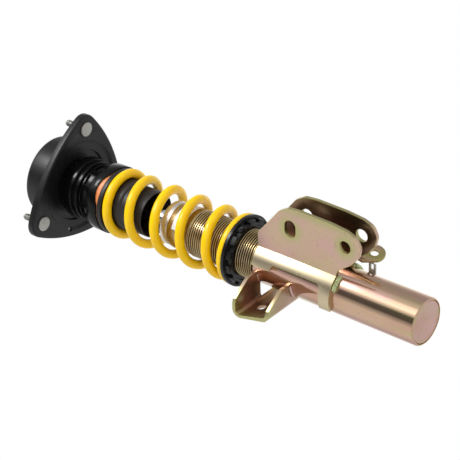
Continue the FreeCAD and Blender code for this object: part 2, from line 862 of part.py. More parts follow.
# ---------------------------------------------------------------- strut body
def strut_tube():
    """Body tube, its thread drawn as a plain band at the thread's outer size."""
    bottom_roll = tube_bottom + size.end_roll_radius
    thread_low = tube_bottom + size.thread_bottom
    thread_high = tube_bottom + size.thread_top
    body = turned("strut_tube", [
        (tube_bore, tube_bottom + size.end_plate_inset), (size.tube_radius - 1.5, tube_bottom),
        (size.tube_radius, tube_bottom + 1.5), (size.tube_radius, bottom_roll),
        (size.tube_radius, thread_low), (size.thread_radius, thread_low),
        (size.thread_radius, thread_high), (size.tube_radius, thread_high),
        (size.tube_radius, tube_top), (tube_bore, tube_top)])
    return body


def end_plate():
    """Plate rolled into the tube's lower end."""
    bottom = tube_bottom + size.end_plate_inset
    return turned("tube_end_plate", [
        (0, bottom), (tube_bore - 1.0, bottom), (tube_bore - size.touch_gap, bottom + 1.0),
        (tube_bore - size.touch_gap, bottom + size.end_plate_thick),
        (0, bottom + size.end_plate_thick)])


def gland_nut():
    """Screwed cap over the rod seal."""
    bore = size.rod_radius + size.fit_gap
    seal = size.seal_radius + size.touch_gap
    spigot = tube_bore - size.touch_gap
    bottom = tube_top - size.gland_depth
    lip = gland_top - 4.0
    return turned("gland_nut", [
        (seal, bottom), (spigot, bottom), (spigot, tube_top + size.touch_gap),
        (size.gland_radius, tube_top + size.touch_gap), (size.gland_radius, gland_top - 1.5),
        (size.gland_radius - 1.5, gland_top), (bore, gland_top), (bore, lip), (seal, lip)])


def rod_seal():
    top = gland_top - 4.0 - size.touch_gap
    return turned("rod_seal", ring_profile(
        size.rod_radius + size.touch_gap, size.seal_radius, top - size.seal_thick, top))


def rod_guide():
    """Bush block below the gland that keeps the rod central and caps the inner tube."""
    top = tube_top - size.gland_depth - size.touch_gap
    bottom = top - size.guide_thick
    spigot = inner_tube_bore - size.touch_gap
    return turned("rod_guide", [
        (size.rod_radius + size.touch_gap, bottom), (spigot, bottom), (spigot, bottom + 6.0),
        (tube_bore - size.touch_gap, bottom + 6.0), (tube_bore - size.touch_gap, top),
        (size.rod_radius + size.touch_gap, top)])


def inner_tube():
    top = tube_top - size.gland_depth - size.guide_thick + 6.0 - 2 * size.touch_gap
    bottom = tube_bottom + size.end_plate_inset + size.end_plate_thick + size.touch_gap
    return turned("pressure_tube", ring_profile(
        inner_tube_bore, size.inner_tube_radius, bottom, top))


def foot_valve():
    bottom = tube_bottom + size.end_plate_inset + size.end_plate_thick + size.touch_gap
    outer = inner_tube_bore - size.touch_gap
    top = bottom + size.foot_valve_height
    return turned("foot_valve", [
        (0, bottom), (outer, bottom), (outer, top - 6.0), (outer - 6.0, top), (0, top)])


def body_label():
    """Blank label wrapped round the smooth top of the tube."""
    inner = size.tube_radius.value + size.touch_gap.value
    outer = size.tube_radius.value + size.label_radius_gap.value
    middle = (size.thread_top.value + size.tube_length.value) / 2 + tube_bottom.value
    low = middle - size.label_width.value / 2
    ring = Part.makeCylinder(outer, size.label_width.value, FreeCAD.Vector(0, 0, low),
                             FreeCAD.Vector(0, 0, 1), size.label_arc.value)
    ring = ring.cut(disc(inner, low - 1, low + size.label_width.value + 1))
    ring.rotate(FreeCAD.Vector(), FreeCAD.Vector(0, 0, 1), -70.0)
    return add_feature("body_label", ring)


# ---------------------------------------------------------------- knuckle bracket
def bracket_station(size_above_bottom):
    return tube_bottom + size_above_bottom


def draw_wrap(sketch, side):
    """Section of one bracket half: a wrap round the tube that runs out into a flat ear."""
    inner = size.tube_radius.value + size.touch_gap.value
    outer = inner + size.sheet_thick.value
    face = size.ear_gap.value / 2
    back = face + size.sheet_thick.value
    reach = size.ear_reach.value + 5
    end = math.radians(size.wrap_end_angle.value)

    def on_circle(radius, turn):
        return FreeCAD.Vector(radius * math.cos(turn), side * radius * math.sin(turn), 0)

    inner_start = math.asin(face / inner)
    outer_start = math.asin(back / outer)
    middle_in, middle_out = (inner_start + end) / 2, (outer_start + end) / 2
    inner_arc = Part.Arc(on_circle(inner, inner_start), on_circle(inner, middle_in),
                         on_circle(inner, end))
    outer_arc = Part.Arc(on_circle(outer, end), on_circle(outer, middle_out),
                         on_circle(outer, outer_start))
    ear_out = FreeCAD.Vector(reach, side * back, 0)
    ear_in = FreeCAD.Vector(reach, side * face, 0)
    sketch.addGeometry(inner_arc, False)
    sketch.addGeometry(Part.LineSegment(on_circle(inner, end), on_circle(outer, end)), False)
    sketch.addGeometry(outer_arc, False)
    sketch.addGeometry(Part.LineSegment(on_circle(outer, outer_start), ear_out), False)
    sketch.addGeometry(Part.LineSegment(ear_out, ear_in), False)
    sketch.addGeometry(Part.LineSegment(ear_in, on_circle(inner, inner_start)), False)


def ear_outline():
    """Side view of one bracket half, X against Z: ear, lower lobe and the two wrap straps."""
    low, high = bracket_station(size.bracket_bottom), bracket_station(size.bracket_top)
    foot = bracket_station(size.ear_foot)
    reach = size.ear_reach
    window_low, window_high = bracket_station(size.window_bottom), bracket_station(size.window_top)
    upper, lower = size.upper_strap_end, size.lower_strap_end
    return [
        (upper, high), (reach - 44.0, high), (reach - 29.0, high - 12.5),
        (reach - 8.0, high - 29.0), (reach - 1.5, high - 40.0), (reach, high - 56.0),
        (reach - 0.6, low + 9.0), (reach - 3.0, low - 13.0), (reach - 7.5, foot + 6.0),
        (reach - 18.6, foot), (reach - 30.5, foot + 2.5), (reach - 42.0, foot + 12.0),
        (reach - 50.0, low - 7.5), (reach - 56.0, low), (lower, low), (lower, window_low),
        (size.window_edge, window_low), (size.window_edge, window_high),
        (upper, window_high)]


def knuckle_bracket(label, side):
    """One pressed half: the ear that the knuckle bolts to and the wrap that is welded on."""
    body = new_body(label)
    foot = bracket_station(size.ear_foot) - 1.0
    section = new_sketch(body, label + "_section", "XY_Plane", foot)
    draw_wrap(section, side)
    add_pad(body, label + "_pad", section, size.bracket_top - size.ear_foot + 2.0)
    trim = new_sketch(body, label + "_trim", "XZ_Plane")
    frame_low, frame_high = foot - 5.0, bracket_station(size.bracket_top) + 6.0
    draw_outline(trim, [(-50.0, frame_low), (size.ear_reach + 10.0, frame_low),
                        (size.ear_reach + 10.0, frame_high), (-50.0, frame_high)])
    draw_outline(trim, ear_outline())
    add_through_pocket(body, label + "_outline", trim)
    bolts = new_sketch(body, label + "_bolts", "XZ_Plane")
    draw_circle(bolts, size.bolt_place, bracket_station(size.bolt_station), size.bolt_hole_radius)
    add_through_pocket(body, label + "_bolt_hole", bolts)
    slot = new_sketch(body, label + "_slot", "XZ_Plane")
    station = bracket_station(size.slot_station)
    radius, half = size.bolt_hole_radius, size.slot_travel / 2
    draw_slot(slot, size.slot_place, station, radius, half)
    add_through_pocket(body, label + "_slot_hole", slot)
    round_ear(body, label)
    return body


def draw_slot(sketch, across, along, radius, half):
    """A slot whose straight runs lie along the sketch's first direction."""
    across, along, radius, half = (Size.of(item) for item in (across, along, radius, half))
    left, right = across.value - half.value, across.value + half.value
    middle, reach = along.value, radius.value
    up, down = FreeCAD.Vector(left, middle + reach, 0), FreeCAD.Vector(left, middle - reach, 0)
    up_far, down_far = FreeCAD.Vector(right, middle + reach, 0), FreeCAD.Vector(right, middle - reach, 0)
    sketch.addGeometry(Part.Arc(up, FreeCAD.Vector(left - reach, middle, 0), down), False)
    sketch.addGeometry(Part.LineSegment(down, down_far), False)
    sketch.addGeometry(Part.Arc(down_far, FreeCAD.Vector(right + reach, middle, 0), up_far), False)
    sketch.addGeometry(Part.LineSegment(up_far, up), False)
    for edge in range(4):
        sketch.addConstraint(Sketcher.Constraint("Coincident", edge, 2, (edge + 1) % 4, 1))
    pin_point(sketch, 0, 3, across - half, along)
    pin_point(sketch, 2, 3, across + half, along)
    for edge in (0, 2):
        index = sketch.addConstraint(Sketcher.Constraint("Radius", edge, reach))
        sketch.setExpression("Constraints[%d]" % index, radius.text)


def round_ear(body, label):
    """Round the corners of the ear's outline and of the window in the wrap."""
    wrap_reach = size.tube_radius.value + size.sheet_thick.value

    def corners_between(low, high):
        corners = [(Size.of(a).value, Size.of(b).value) for a, b in ear_outline()]
        corners = [corner for corner in corners if low < corner[0] <= high]

        def on_outline(edge):
            if not runs_along(edge, 1):
                return False
            spot = edge.Vertexes[0].Point
            return any(abs(spot.x - x) < 0.2 and abs(spot.z - z) < 0.2 for x, z in corners)

        return edges_where(body, on_outline)

    ear_edges = corners_between(wrap_reach, size.ear_reach.value)
    add_fillet(body, label + "_rounded", ear_edges, size.ear_corner_radius)
    window_edges = corners_between(size.upper_strap_end.value, size.window_edge.value)
    add_fillet(body, label + "_window", window_edges, size.window_corner_radius)


def bracket_welds():
    """Fillet beads along the lower ends of the wraps, one lump each."""
    beads = []
    bead = size.weld_radius.value
    ring = size.tube_radius.value + bead * WELD_REACH
    start, end = size.weld_start_angle.value, size.weld_end_angle.value
    wrap_low = tube_bottom.value + size.bracket_bottom.value
    inner = size.tube_radius.value + size.touch_gap.value
    for arc_start in (start, -end):
        torus = Part.makeTorus(ring, bead, FreeCAD.Vector(0, 0, wrap_low - bead * WELD_DROP),
                               FreeCAD.Vector(0, 0, 1), -180, 180, end - start)
        torus.rotate(FreeCAD.Vector(), FreeCAD.Vector(0, 0, 1), arc_start)
        torus = torus.cut(disc(inner, tube_bottom.value, tube_top.value))
        above = wrap_low - size.touch_gap.value
        beads.append(torus.cut(disc(ring + 2 * bead, above, above + 2 * bead)))
    return add_feature("bracket_welds", Part.makeCompound(beads))


# Where a bead's middle stands off the tube and below the wrap, as shares of its radius.
WELD_REACH = 0.55
WELD_DROP = 0.9


# ---------------------------------------------------------------- link bracket
def link_bracket():
    """Folded channel with a leaning base, welded under the tube, for the anti-roll bar link."""
    body = new_body("link_bracket")
    top, bottom = tube_bottom + size.link_top, tube_bottom + size.link_bottom
    thick = size.link_sheet
    mouth = 8.0
    section = new_sketch(body, "channel_section", "XZ_Plane", -size.link_back)
    draw_outline(section, [
        (mouth, top), (-size.link_base_top, top), (-size.link_base_bottom, bottom),
        (mouth, bottom), (mouth, bottom + thick), (thick - size.link_base_bottom, bottom + thick),
        (thick - size.link_base_top, top - thick), (mouth, top - thick)])
    add_pad(body, "channel", section, size.link_reach + size.link_back)
    outer_top, outer_bottom = -size.link_base_top, -size.link_base_bottom
    inner_top, inner_bottom = thick - size.link_base_top, thick - size.link_base_bottom
    outer = edges_where(body, lambda edge: runs_along(edge, 1, (outer_top, top))
                        or runs_along(edge, 1, (outer_bottom, bottom)))
    inner = edges_where(body, lambda edge: runs_along(edge, 1, (inner_top, top - thick))
                        or runs_along(edge, 1, (inner_bottom, bottom + thick)))
    add_fillet(body, "inner_bends", inner, size.link_bend_radius)
    outer = edges_where(body, lambda edge: runs_along(edge, 1, (outer_top, top))
                        or runs_along(edge, 1, (outer_bottom, bottom)))
    add_fillet(body, "outer_bends", outer, size.link_bend_radius + thick)
    front = new_sketch(body, "wall_front", "XY_Plane", bottom - 5.0)
    draw_outline(front, [
        (20.0, -20.0), (1.0, -27.0), (0.0, -42.0), (-16.0, 2.0 - size.link_reach),
        (-22.0, -size.link_reach), (-22.0, -size.link_reach - 10.0),
        (20.0, -size.link_reach - 10.0)])
    add_pocket(body, "wall_front_cut", front, size.link_top - size.link_bottom + 10.0, reverse=True)
    bore = new_sketch(body, "tube_cut", "XY_Plane", bottom - 5.0)
    draw_circle(bore, 0.0, 0.0, size.tube_radius + size.touch_gap)
    add_pocket(body, "tube_cut_pocket", bore, size.link_top - size.link_bottom + 10.0, reverse=True)
    back = new_sketch(body, "wall_back", "YZ_Plane", 10.0)
    relief = top - thick - 1.5
    draw_outline(back, [(-size.link_wall_back, relief), (size.link_back + 5.0, relief),
                        (size.link_back + 5.0, top + 5.0), (-size.link_wall_back, top + 5.0)])
    add_pocket(body, "wall_back_cut", back, 70.0)
    hole = new_sketch(body, "link_hole", "YZ_Plane")
    lean = math.degrees(math.atan2((size.link_base_top - size.link_base_bottom).value,
                                   (size.link_top - size.link_bottom).value))
    drop = (size.link_top - size.link_hole_station).value * math.tan(math.radians(lean))
    hole.AttachmentOffset = FreeCAD.Placement(
        FreeCAD.Vector(-size.link_hole_place.value,
                       (tube_bottom + size.link_hole_station).value,
                       drop + (thick / 2 - size.link_base_top).value),
        FreeCAD.Rotation(FreeCAD.Vector(1, 0, 0), -lean))
    draw_circle(hole, 0.0, 0.0, size.link_hole_radius)
    add_through_pocket(body, "link_hole_cut", hole)
    return body


def tab_frame():
    """Where the hose tab sits: z square to its outer face, x towards the bracket."""
    turn = FreeCAD.Rotation(FreeCAD.Vector(*TAB_ALONG), FreeCAD.Vector(),
                            FreeCAD.Vector(*TAB_FACE), "ZXY")
    return FreeCAD.Placement(
        FreeCAD.Vector(size.tab_place.value, size.tab_side.value,
                       tube_bottom.value + size.tab_station.value), turn)


def hose_tab():
    """Eyed plate for the brake hose, welded on the outer face of the rear bracket half."""
    thick = size.tab_thick.value
    low = size.tab_radius.value - size.tab_width.value
    eye = Part.makeCylinder(size.tab_radius.value, thick, FreeCAD.Vector(0, 0, -thick))
    arm = Part.makeBox(size.tab_length.value, size.tab_width.value, thick,
                       FreeCAD.Vector(0, low, -thick))
    hole = Part.makeCylinder(size.tab_hole_radius.value, 3 * thick, FreeCAD.Vector(0, 0, -2 * thick))
    tab = eye.fuse(arm).cut(hole).removeSplitter()
    tab.Placement = tab_frame()
    ear_face = size.ear_gap.value / 2
    outline = [FreeCAD.Vector(Size.of(x).value, ear_face - size.touch_gap.value, Size.of(z).value)
               for x, z in ear_outline()]
    ear = Part.Face(Part.makePolygon(outline + outline[:1]))
    ear = ear.extrude(FreeCAD.Vector(0, size.sheet_thick.value + 2 * size.touch_gap.value, 0))
    between = Part.makeBox(120, 60, 120, FreeCAD.Vector(0, ear_face - 60, tab.Placement.Base.z - 60))
    tab = tab.cut(between).cut(ear)
    return add_feature("brake_hose_tab", max(tab.Solids, key=lambda solid: solid.Volume))


# Directions of the hose tab: from its eye towards the bracket, and square to its face.
TAB_ALONG = (0.0252, -0.6298, 0.7763)
TAB_FACE = (0.956, -0.204, -0.197)


def hose_clip():
    """Slotted post that holds the hose tab off the tube."""
    low = tube_bottom.value + size.clip_station.value
    height = size.clip_height.value
    side = size.clip_side.value
    thick = size.clip_thick.value
    plate = Part.makeBox(size.tab_place.value, thick, height, FreeCAD.Vector(0, side, low))
    slot = Part.makeBox(size.clip_slot_length.value, 3 * thick, size.clip_slot_width.value,
                        FreeCAD.Vector(size.clip_slot_place.value, side - thick,
                                       low + (height - size.clip_slot_width.value) / 2))
    plate = plate.cut(slot).cut(disc(size.tube_radius.value + size.touch_gap.value,
                                     low - 1, low + height + 1))
    above = Part.makeBox(200, 200, 60, FreeCAD.Vector(
        -100, -100, -size.tab_thick.value - size.touch_gap.value))
    above.Placement = tab_frame()
    plate = plate.cut(above)
    post = max(plate.Solids, key=lambda solid: solid.BoundBox.XMax)
    return add_feature("hose_clip", post)


# ---------------------------------------------------------------- lower spring collar
def spring_collar():
    """Ring on the thread: a smooth flange under the spring and a notched band below it."""
    bore = size.thread_radius + size.fit_gap
    top = spring_bottom - size.touch_gap
    recess = collar_bottom + size.collar_recess
    band_top = collar_bottom + size.collar_band_height
    body = turned("spring_collar", [
        (bore, recess), (size.collar_recess_radius, recess),
        (size.collar_recess_radius + 1.0, collar_bottom), (size.collar_band_radius, collar_bottom),
        (size.collar_band_radius, band_top), (size.collar_radius, band_top),
        (size.collar_radius, top), (bore, top)])
    floor = size.collar_band_radius - size.collar_notch_depth
    sketch = new_sketch(body, "notch_sketch", "YZ_Plane", floor)
    half = size.collar_notch_width / 2
    draw_outline(sketch, [
        (-half, collar_bottom - 1.0), (half, collar_bottom - 1.0),
        (half, collar_bottom + size.collar_notch_height),
        (-half, collar_bottom + size.collar_notch_height)])
    notch = add_pocket(body, "spanner_notch", sketch, size.collar_notch_depth + 1.0, reverse=True)
    add_polar(body, "spanner_notches", notch, size.collar_notch_count)
    drill = new_sketch(body, "grub_sketch", "XZ_Plane", size.thread_radius - 3.0)
    draw_circle(drill, 0.0, collar_bottom + size.grub_station, size.grub_radius + size.touch_gap)
    add_pocket(body, "grub_hole", drill, size.collar_radius - size.thread_radius + 5.0, reverse=True)
    return body


def grub_screw():
    """Socket grub screw that locks the collar on its thread."""
    middle = collar_bottom.value + size.grub_station.value
    inner = size.thread_radius.value + 2 * size.fit_gap.value
    outer = size.collar_band_radius.value - 1.0
    screw = Part.makeCylinder(size.grub_radius.value, outer - inner,
                              FreeCAD.Vector(0, -inner, middle), FreeCAD.Vector(0, -1, 0))
    socket_depth = 1.5 * size.grub_radius.value
    socket = hexagon(size.grub_socket_across.value, 0, socket_depth)
    socket.rotate(FreeCAD.Vector(), FreeCAD.Vector(1, 0, 0), 90)
    socket.translate(FreeCAD.Vector(0, -outer + socket_depth, middle))
    return add_feature("collar_grub_screw", screw.cut(socket))


def build():
    """Every sub-part, outermost first."""
    neck_nut = sleeve_top + 2 * size.touch_gap + size.rod_washer_thick
    nut_high = piston_top - size.piston_thick - 2 * size.touch_gap
    nodes = [
        mount_flange(), mount_drum(), mount_studs(), floor_plate(), rod_sleeve(),
        rubber_isolator(), rod_washer(),
        nut("rod_nut", size.rod_nut_across, size.rod_neck_radius, neck_nut,
            neck_nut + size.rod_nut_thick),
        bearing_upper_race(), bearing_balls(), bearing_lower_race(), windowed_seat(),
        thrust_ring(), spring_pad(), coil_spring(), dust_boot(),
        piston_rod(), bump_stop(), bump_stop_cup(), piston(), piston_band(),
        nut("piston_nut", size.piston_nut_across, size.rod_end_radius,
            nut_high - size.piston_nut_thick, nut_high),
        strut_tube(), end_plate(), gland_nut(), rod_seal(), rod_guide(), inner_tube(),
        foot_valve(), body_label(),
        knuckle_bracket("front_knuckle_bracket", -1), knuckle_bracket("rear_knuckle_bracket", 1),
        bracket_welds(), link_bracket(), hose_tab(), hose_clip(),
        spring_collar(), grub_screw()]
    return nodes


def turn_collar(collar, screw):
    """Turn the collar with its screw, drilled along -Y, to where the screw sits."""
    turn = FreeCAD.Placement(FreeCAD.Vector(), FreeCAD.Rotation(
        FreeCAD.Vector(0, 0, 1), size.grub_angle.value + 90))
    collar.Placement = turn
    screw.Placement = turn


def write_all(nodes):
    """Check every object, then write each sub-part to its own file."""
    doc.recompute()
    for item in doc.Objects:
        if "Invalid" in item.State or "Error" in item.State:
            raise RuntimeError("%s did not build: %s" % (item.Label, item.State))
    for node in nodes:
        if node.Shape.isNull() or not node.Shape.isValid():
            raise RuntimeError("%s has no sound shape" % node.Label)
        if not node.Shape.Solids:
            raise RuntimeError("%s has no solid" % node.Label)
    os.makedirs("parts", exist_ok=True)
    for node in nodes:
        node.Shape.exportStep("parts/%s.step" % node.Label)
        box = node.Shape.BoundBox
        print("%-24s solids %2d  volume %10.1f  z %8.2f %8.2f" % (
            node.Label, len(node.Shape.Solids), node.Shape.Volume, box.ZMin, box.ZMax))


all_nodes = build()
turn_collar(all_nodes[-2], all_nodes[-1])
write_all(all_nodes)
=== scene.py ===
"""Looks of a coilover strut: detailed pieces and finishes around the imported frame."""

import json
import logging
import math
from dataclasses import dataclass
from enum import Enum

import bpy
from mathutils import Matrix, Vector


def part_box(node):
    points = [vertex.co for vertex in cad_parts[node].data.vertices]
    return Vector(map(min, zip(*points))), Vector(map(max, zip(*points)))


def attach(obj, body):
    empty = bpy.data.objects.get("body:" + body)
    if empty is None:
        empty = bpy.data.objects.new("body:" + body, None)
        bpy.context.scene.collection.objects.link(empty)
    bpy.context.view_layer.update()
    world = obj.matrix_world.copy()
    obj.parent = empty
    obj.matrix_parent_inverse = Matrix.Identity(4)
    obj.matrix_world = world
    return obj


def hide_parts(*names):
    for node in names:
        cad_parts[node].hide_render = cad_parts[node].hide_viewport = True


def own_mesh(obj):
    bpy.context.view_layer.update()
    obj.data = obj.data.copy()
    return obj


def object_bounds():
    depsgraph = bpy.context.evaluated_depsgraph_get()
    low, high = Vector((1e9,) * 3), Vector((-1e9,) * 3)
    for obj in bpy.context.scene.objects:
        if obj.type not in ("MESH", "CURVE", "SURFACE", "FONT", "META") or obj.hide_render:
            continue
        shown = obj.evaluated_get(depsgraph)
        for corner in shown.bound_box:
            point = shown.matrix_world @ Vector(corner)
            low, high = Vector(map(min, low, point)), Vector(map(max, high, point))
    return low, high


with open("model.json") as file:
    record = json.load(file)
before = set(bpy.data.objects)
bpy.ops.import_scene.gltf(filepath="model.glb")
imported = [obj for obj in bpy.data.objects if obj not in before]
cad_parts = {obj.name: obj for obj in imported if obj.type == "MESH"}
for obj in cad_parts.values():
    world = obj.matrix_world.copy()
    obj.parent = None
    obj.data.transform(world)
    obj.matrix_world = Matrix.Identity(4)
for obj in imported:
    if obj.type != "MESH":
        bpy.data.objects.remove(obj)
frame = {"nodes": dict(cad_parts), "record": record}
CAD_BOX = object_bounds()

LOG = logging.getLogger("coilover")
MM = 0.001
SMOOTH_ANGLE = math.radians(32.0)
MERGE = 1e-6
Triple = tuple[float, float, float]
Point = tuple[float, float]
Piece = bpy.types.Object
Finish = bpy.types.Material


def shade(red: float, green: float, blue: float) -> Triple:
    """Linear colour of a display colour.

    Args:
        red: Red, from 0 to 255.
        green: Green, from 0 to 255.
        blue: Blue, from 0 to 255.

    Returns:
        The three linear values.
    """
    return tuple(((value / 255 + 0.055) / 1.055) ** 2.4 if value > 10 else value / 3295
                 for value in (red, green, blue))


# -------------------- shader tools
class Value:
    """One output of a shader, with arithmetic that adds the Math nodes it needs."""

    def __init__(self, shader: "Shader", socket: bpy.types.NodeSocket) -> None:
        """Keep the socket and the shader that it belongs to."""
        self.shader = shader
        self.socket = socket

    def __add__(self, other: "Value | float") -> "Value":
        """Sum."""
        return self.shader.math("ADD", self, other)

    def __sub__(self, other: "Value | float") -> "Value":
        """Difference."""
        return self.shader.math("SUBTRACT", self, other)

    def __rsub__(self, other: float) -> "Value":
        """Difference from a number."""
        return self.shader.math("SUBTRACT", other, self)

    def __mul__(self, other: "Value | float") -> "Value":
        """Product."""
        return self.shader.math("MULTIPLY", self, other)

    def __truediv__(self, other: "Value | float") -> "Value":
        """Quotient."""
        return self.shader.math("DIVIDE", self, other)

    def __rtruediv__(self, other: float) -> "Value":
        """Number divided by this."""
        return self.shader.math("DIVIDE", other, self)

    def __pow__(self, other: "Value | float") -> "Value":
        """Power."""
        return self.shader.math("POWER", self, other)

    __radd__ = __add__
    __rmul__ = __mul__

    def clamped(self) -> "Value":
        """This value kept between 0 and 1."""
        return self.shader.math("MINIMUM", self.shader.math("MAXIMUM", self, 0.0), 1.0)

    def step(self, low: float, high: float) -> "Value":
        """A ramp from 0 at low to 1 at high."""
        return ((self - low) / (high - low)).clamped()


class Shader:
    """A material under construction."""

    def __init__(self, name: str) -> None:
        """Start an empty material."""
        self.material = bpy.data.materials.new(name)
        self.material.use_nodes = True
        self.tree = self.material.node_tree
        self.tree.nodes.clear()

    def node(self, kind: str, settings: dict | None = None,
             inputs: dict | None = None) -> bpy.types.Node:
        """Add one node.

        Args:
            kind: The node's type name without its ShaderNode prefix.
            settings: Properties set before the sockets; "stops" fills a colour ramp.
            inputs: Values or links of its sockets, by name or index.

        Returns:
            The node.
        """
        node = self.tree.nodes.new("ShaderNode" + kind)
        for key, value in (settings or {}).items():
            if key == "stops":
                self._fill_ramp(node, value)
            else:
                setattr(node, key, value)
        for key, value in (inputs or {}).items():
            socket = node.inputs[key]
            if isinstance(value, Value):
                self.tree.links.new(value.socket, socket)
            elif isinstance(value, tuple) and len(value) == 3 and len(socket.default_value) == 4:
                socket.default_value = (*value, 1.0)
            else:
                socket.default_value = value
        return node

    @staticmethod
    def _fill_ramp(node: bpy.types.Node, stops: list[tuple[float, Triple]]) -> None:
        """Give a colour ramp its stops."""
        elements = node.color_ramp.elements
        while len(elements) < len(stops):
            elements.new(1.0)
        for element, (place, colour) in zip(elements, stops):
            element.position = place
            element.color = (*colour, 1.0)

    def math(self, operation: str, first: Value | float, second: Value | float = 0.0) -> Value:
        """One Math node."""
        node = self.node("Math", {"operation": operation}, {0: first, 1: second})
        return Value(self, node.outputs[0])

    def place(self, stretch: Triple = (1.0, 1.0, 1.0)) -> Value:
        """Object coordinates, stretched along each axis."""
        where = self.node("TexCoord")
        mapping = self.node("Mapping", None, {
            "Vector": Value(self, where.outputs["Object"]), "Scale": stretch})
        return Value(self, mapping.outputs[0])

    def axes(self) -> tuple[Value, Value, Value]:
        """The three object coordinates."""
        parts = self.node("SeparateXYZ", None, {0: self.place()})
        return tuple(Value(self, output) for output in parts.outputs)

    def radius(self) -> Value:
        """Distance from the strut's axis."""
        across, along, _ = self.axes()
        return (across * across + along * along) ** 0.5

    def near(self, spot: Triple) -> Value:
        """Distance from the line through a spot that runs along Y."""
        across, _, height = self.axes()
        return ((across - spot[0]) ** 2.0 + (height - spot[2]) ** 2.0) ** 0.5

    def noise(self, size: float, detail: float = 2.0, stretch: Triple = (1.0, 1.0, 1.0),
              roughness: float = 0.5) -> Value:
        """Soft noise whose patches are about the given size in metres."""
        node = self.node("TexNoise", None, {
            "Vector": self.place(stretch), "Scale": 1.0 / size, "Detail": detail,
            "Roughness": roughness})
        return Value(self, node.outputs[0])

    def mix(self, factor: Value | float, first: Value | Triple, second: Value | Triple) -> Value:
        """Blend two colours."""
        node = self.node("Mix", {"data_type": "RGBA"}, {0: factor, 6: first, 7: second})
        return Value(self, node.outputs[2])

    def edge(self, reach: float) -> Value:
        """Mask of a painted edge highlight: one at the sharp edges of the piece, fading to nothing
        over its flat faces.

        Args:
            reach: How far the painted highlight strip reaches from an edge.

        Returns:
            The strength of the strip.
        """
        soft = self.node("Bevel", {"samples": 6}, {"Radius": reach})
        face = self.node("NewGeometry")
        along = self.node("VectorMath", {"operation": "DOT_PRODUCT"}, {
            0: Value(self, soft.outputs[0]), 1: Value(self, face.outputs["Normal"])})
        return (1.0 - Value(self, along.outputs["Value"])).step(0.01, 0.14)

    def bump(self, height: Value, depth: float) -> Value:
        """Relief of the given depth in metres."""
        node = self.node("Bump", None, {"Height": height, "Distance": depth, "Strength": 1.0})
        return Value(self, node.outputs[0])

    def done(self, **sockets: object) -> Finish:
        """Close the material with a Principled shader.

        Args:
            **sockets: Its sockets, with underscores for spaces.

        Returns:
            The material.
        """
        inputs = {key.replace("_", " "): value for key, value in sockets.items()}
        surface = self.node("BsdfPrincipled", None, inputs)
        self.node("OutputMaterial", None, {"Surface": Value(self, surface.outputs[0])})
        return self.material


class WorldShader(Shader):
    """The world's light under construction."""

    def __init__(self, name: str) -> None:
        """Start an empty world and give it to the scene."""
        world = bpy.data.worlds.new(name)
        world.use_nodes = True
        bpy.context.scene.world = world
        self.tree = world.node_tree
        self.tree.nodes.clear()


# -------------------- finishes
@dataclass(frozen=True)
class BlackPaint:
    """Black coat on pressed steel or moulded plastic: cloudy gloss, orange peel and fine dust."""

    name: str
    colour: Triple = (0.006, 0.006, 0.0065)
    gloss: float = 0.34
    sheen: float = 0.32
    spread: float = 0.10
    grain: float = 0.0006
    depth: float = 0.00003

    def material(self) -> Finish:
        """Build the material."""
        shader = Shader(self.name)
        clouds = shader.noise(0.03, 3.0)
        grain = shader.noise(self.grain, 2.0)
        dust = shader.noise(0.0025, 4.0).step(0.62, 0.80)
        worn = tuple(value * 1.9 + 0.002 for value in self.colour)
        colour = shader.mix(clouds.step(0.35, 0.75) * 0.6 + dust * 0.35, self.colour, worn)
        return shader.done(
            Base_Color=colour, Roughness=self.gloss + (clouds - 0.5) * self.spread + dust * 0.08,
            Specular_IOR_Level=self.sheen, Normal=shader.bump(grain, self.depth))


@dataclass(frozen=True)
class Rubber:
    """Moulded rubber with a dry bloom and a fine skin."""

    name: str
    colour: Triple = (0.018, 0.017, 0.016)
    bloom: Triple = (0.05, 0.047, 0.045)
    gloss: float = 0.55

    def material(self) -> Finish:
        """Build the material."""
        shader = Shader(self.name)
        bloom = shader.noise(0.012, 4.0, (1.0, 1.0, 2.5)).step(0.35, 0.8)
        skin = shader.noise(0.0005, 3.0)
        rings = shader.noise(0.0014, 1.0, (0.02, 0.02, 1.0))
        return shader.done(
            Base_Color=shader.mix(bloom * 0.7, self.colour, self.bloom),
            Roughness=self.gloss + bloom * 0.15,
            Normal=shader.bump(skin * 0.6 + rings * 0.4, 0.00005))


@dataclass(frozen=True)
class PlatedSteel:
    """Plain zinc plate, from bright to matt, with the grain of the blank beneath."""

    name: str
    colour: Triple = (0.52, 0.52, 0.50)
    gloss: float = 0.38
    grain: float = 0.0008
    depth: float = 0.00005
    metal: float = 1.0

    def material(self) -> Finish:
        """Build the material."""
        shader = Shader(self.name)
        clouds = shader.noise(0.006, 3.0)
        grain = shader.noise(self.grain, 4.0, roughness=0.7)
        dark = tuple(value * 0.62 for value in self.colour)
        return shader.done(
            Base_Color=shader.mix(grain.step(0.3, 0.72), dark, self.colour),
            Metallic=self.metal, Roughness=self.gloss + (clouds - 0.5) * 0.2,
            Normal=shader.bump(grain, self.depth))


@dataclass(frozen=True)
class SpringCoat:
    """Thick glossy powder coat with orange peel and thin runs that show a deeper tone."""

    name: str
    colour: Triple = (1.0, 0.64, 0.0)
    deep: Triple = (1.0, 0.52, 0.0)
    gloss: float = 0.26

    def material(self) -> Finish:
        """Build the material."""
        shader = Shader(self.name)
        runs = shader.noise(0.014, 3.0)
        peel = shader.noise(0.0016, 2.0)
        specks = shader.noise(0.0009, 1.0).step(0.74, 0.80)
        colour = shader.mix(runs.step(0.38, 0.75) * 0.4, self.colour, self.deep)
        colour = shader.mix(specks * 0.25, colour, shade(150, 96, 8))
        return shader.done(
            Base_Color=colour, Roughness=self.gloss + (runs - 0.5) * 0.12,
            Specular_IOR_Level=0.36, Normal=shader.bump(peel, 0.00006))


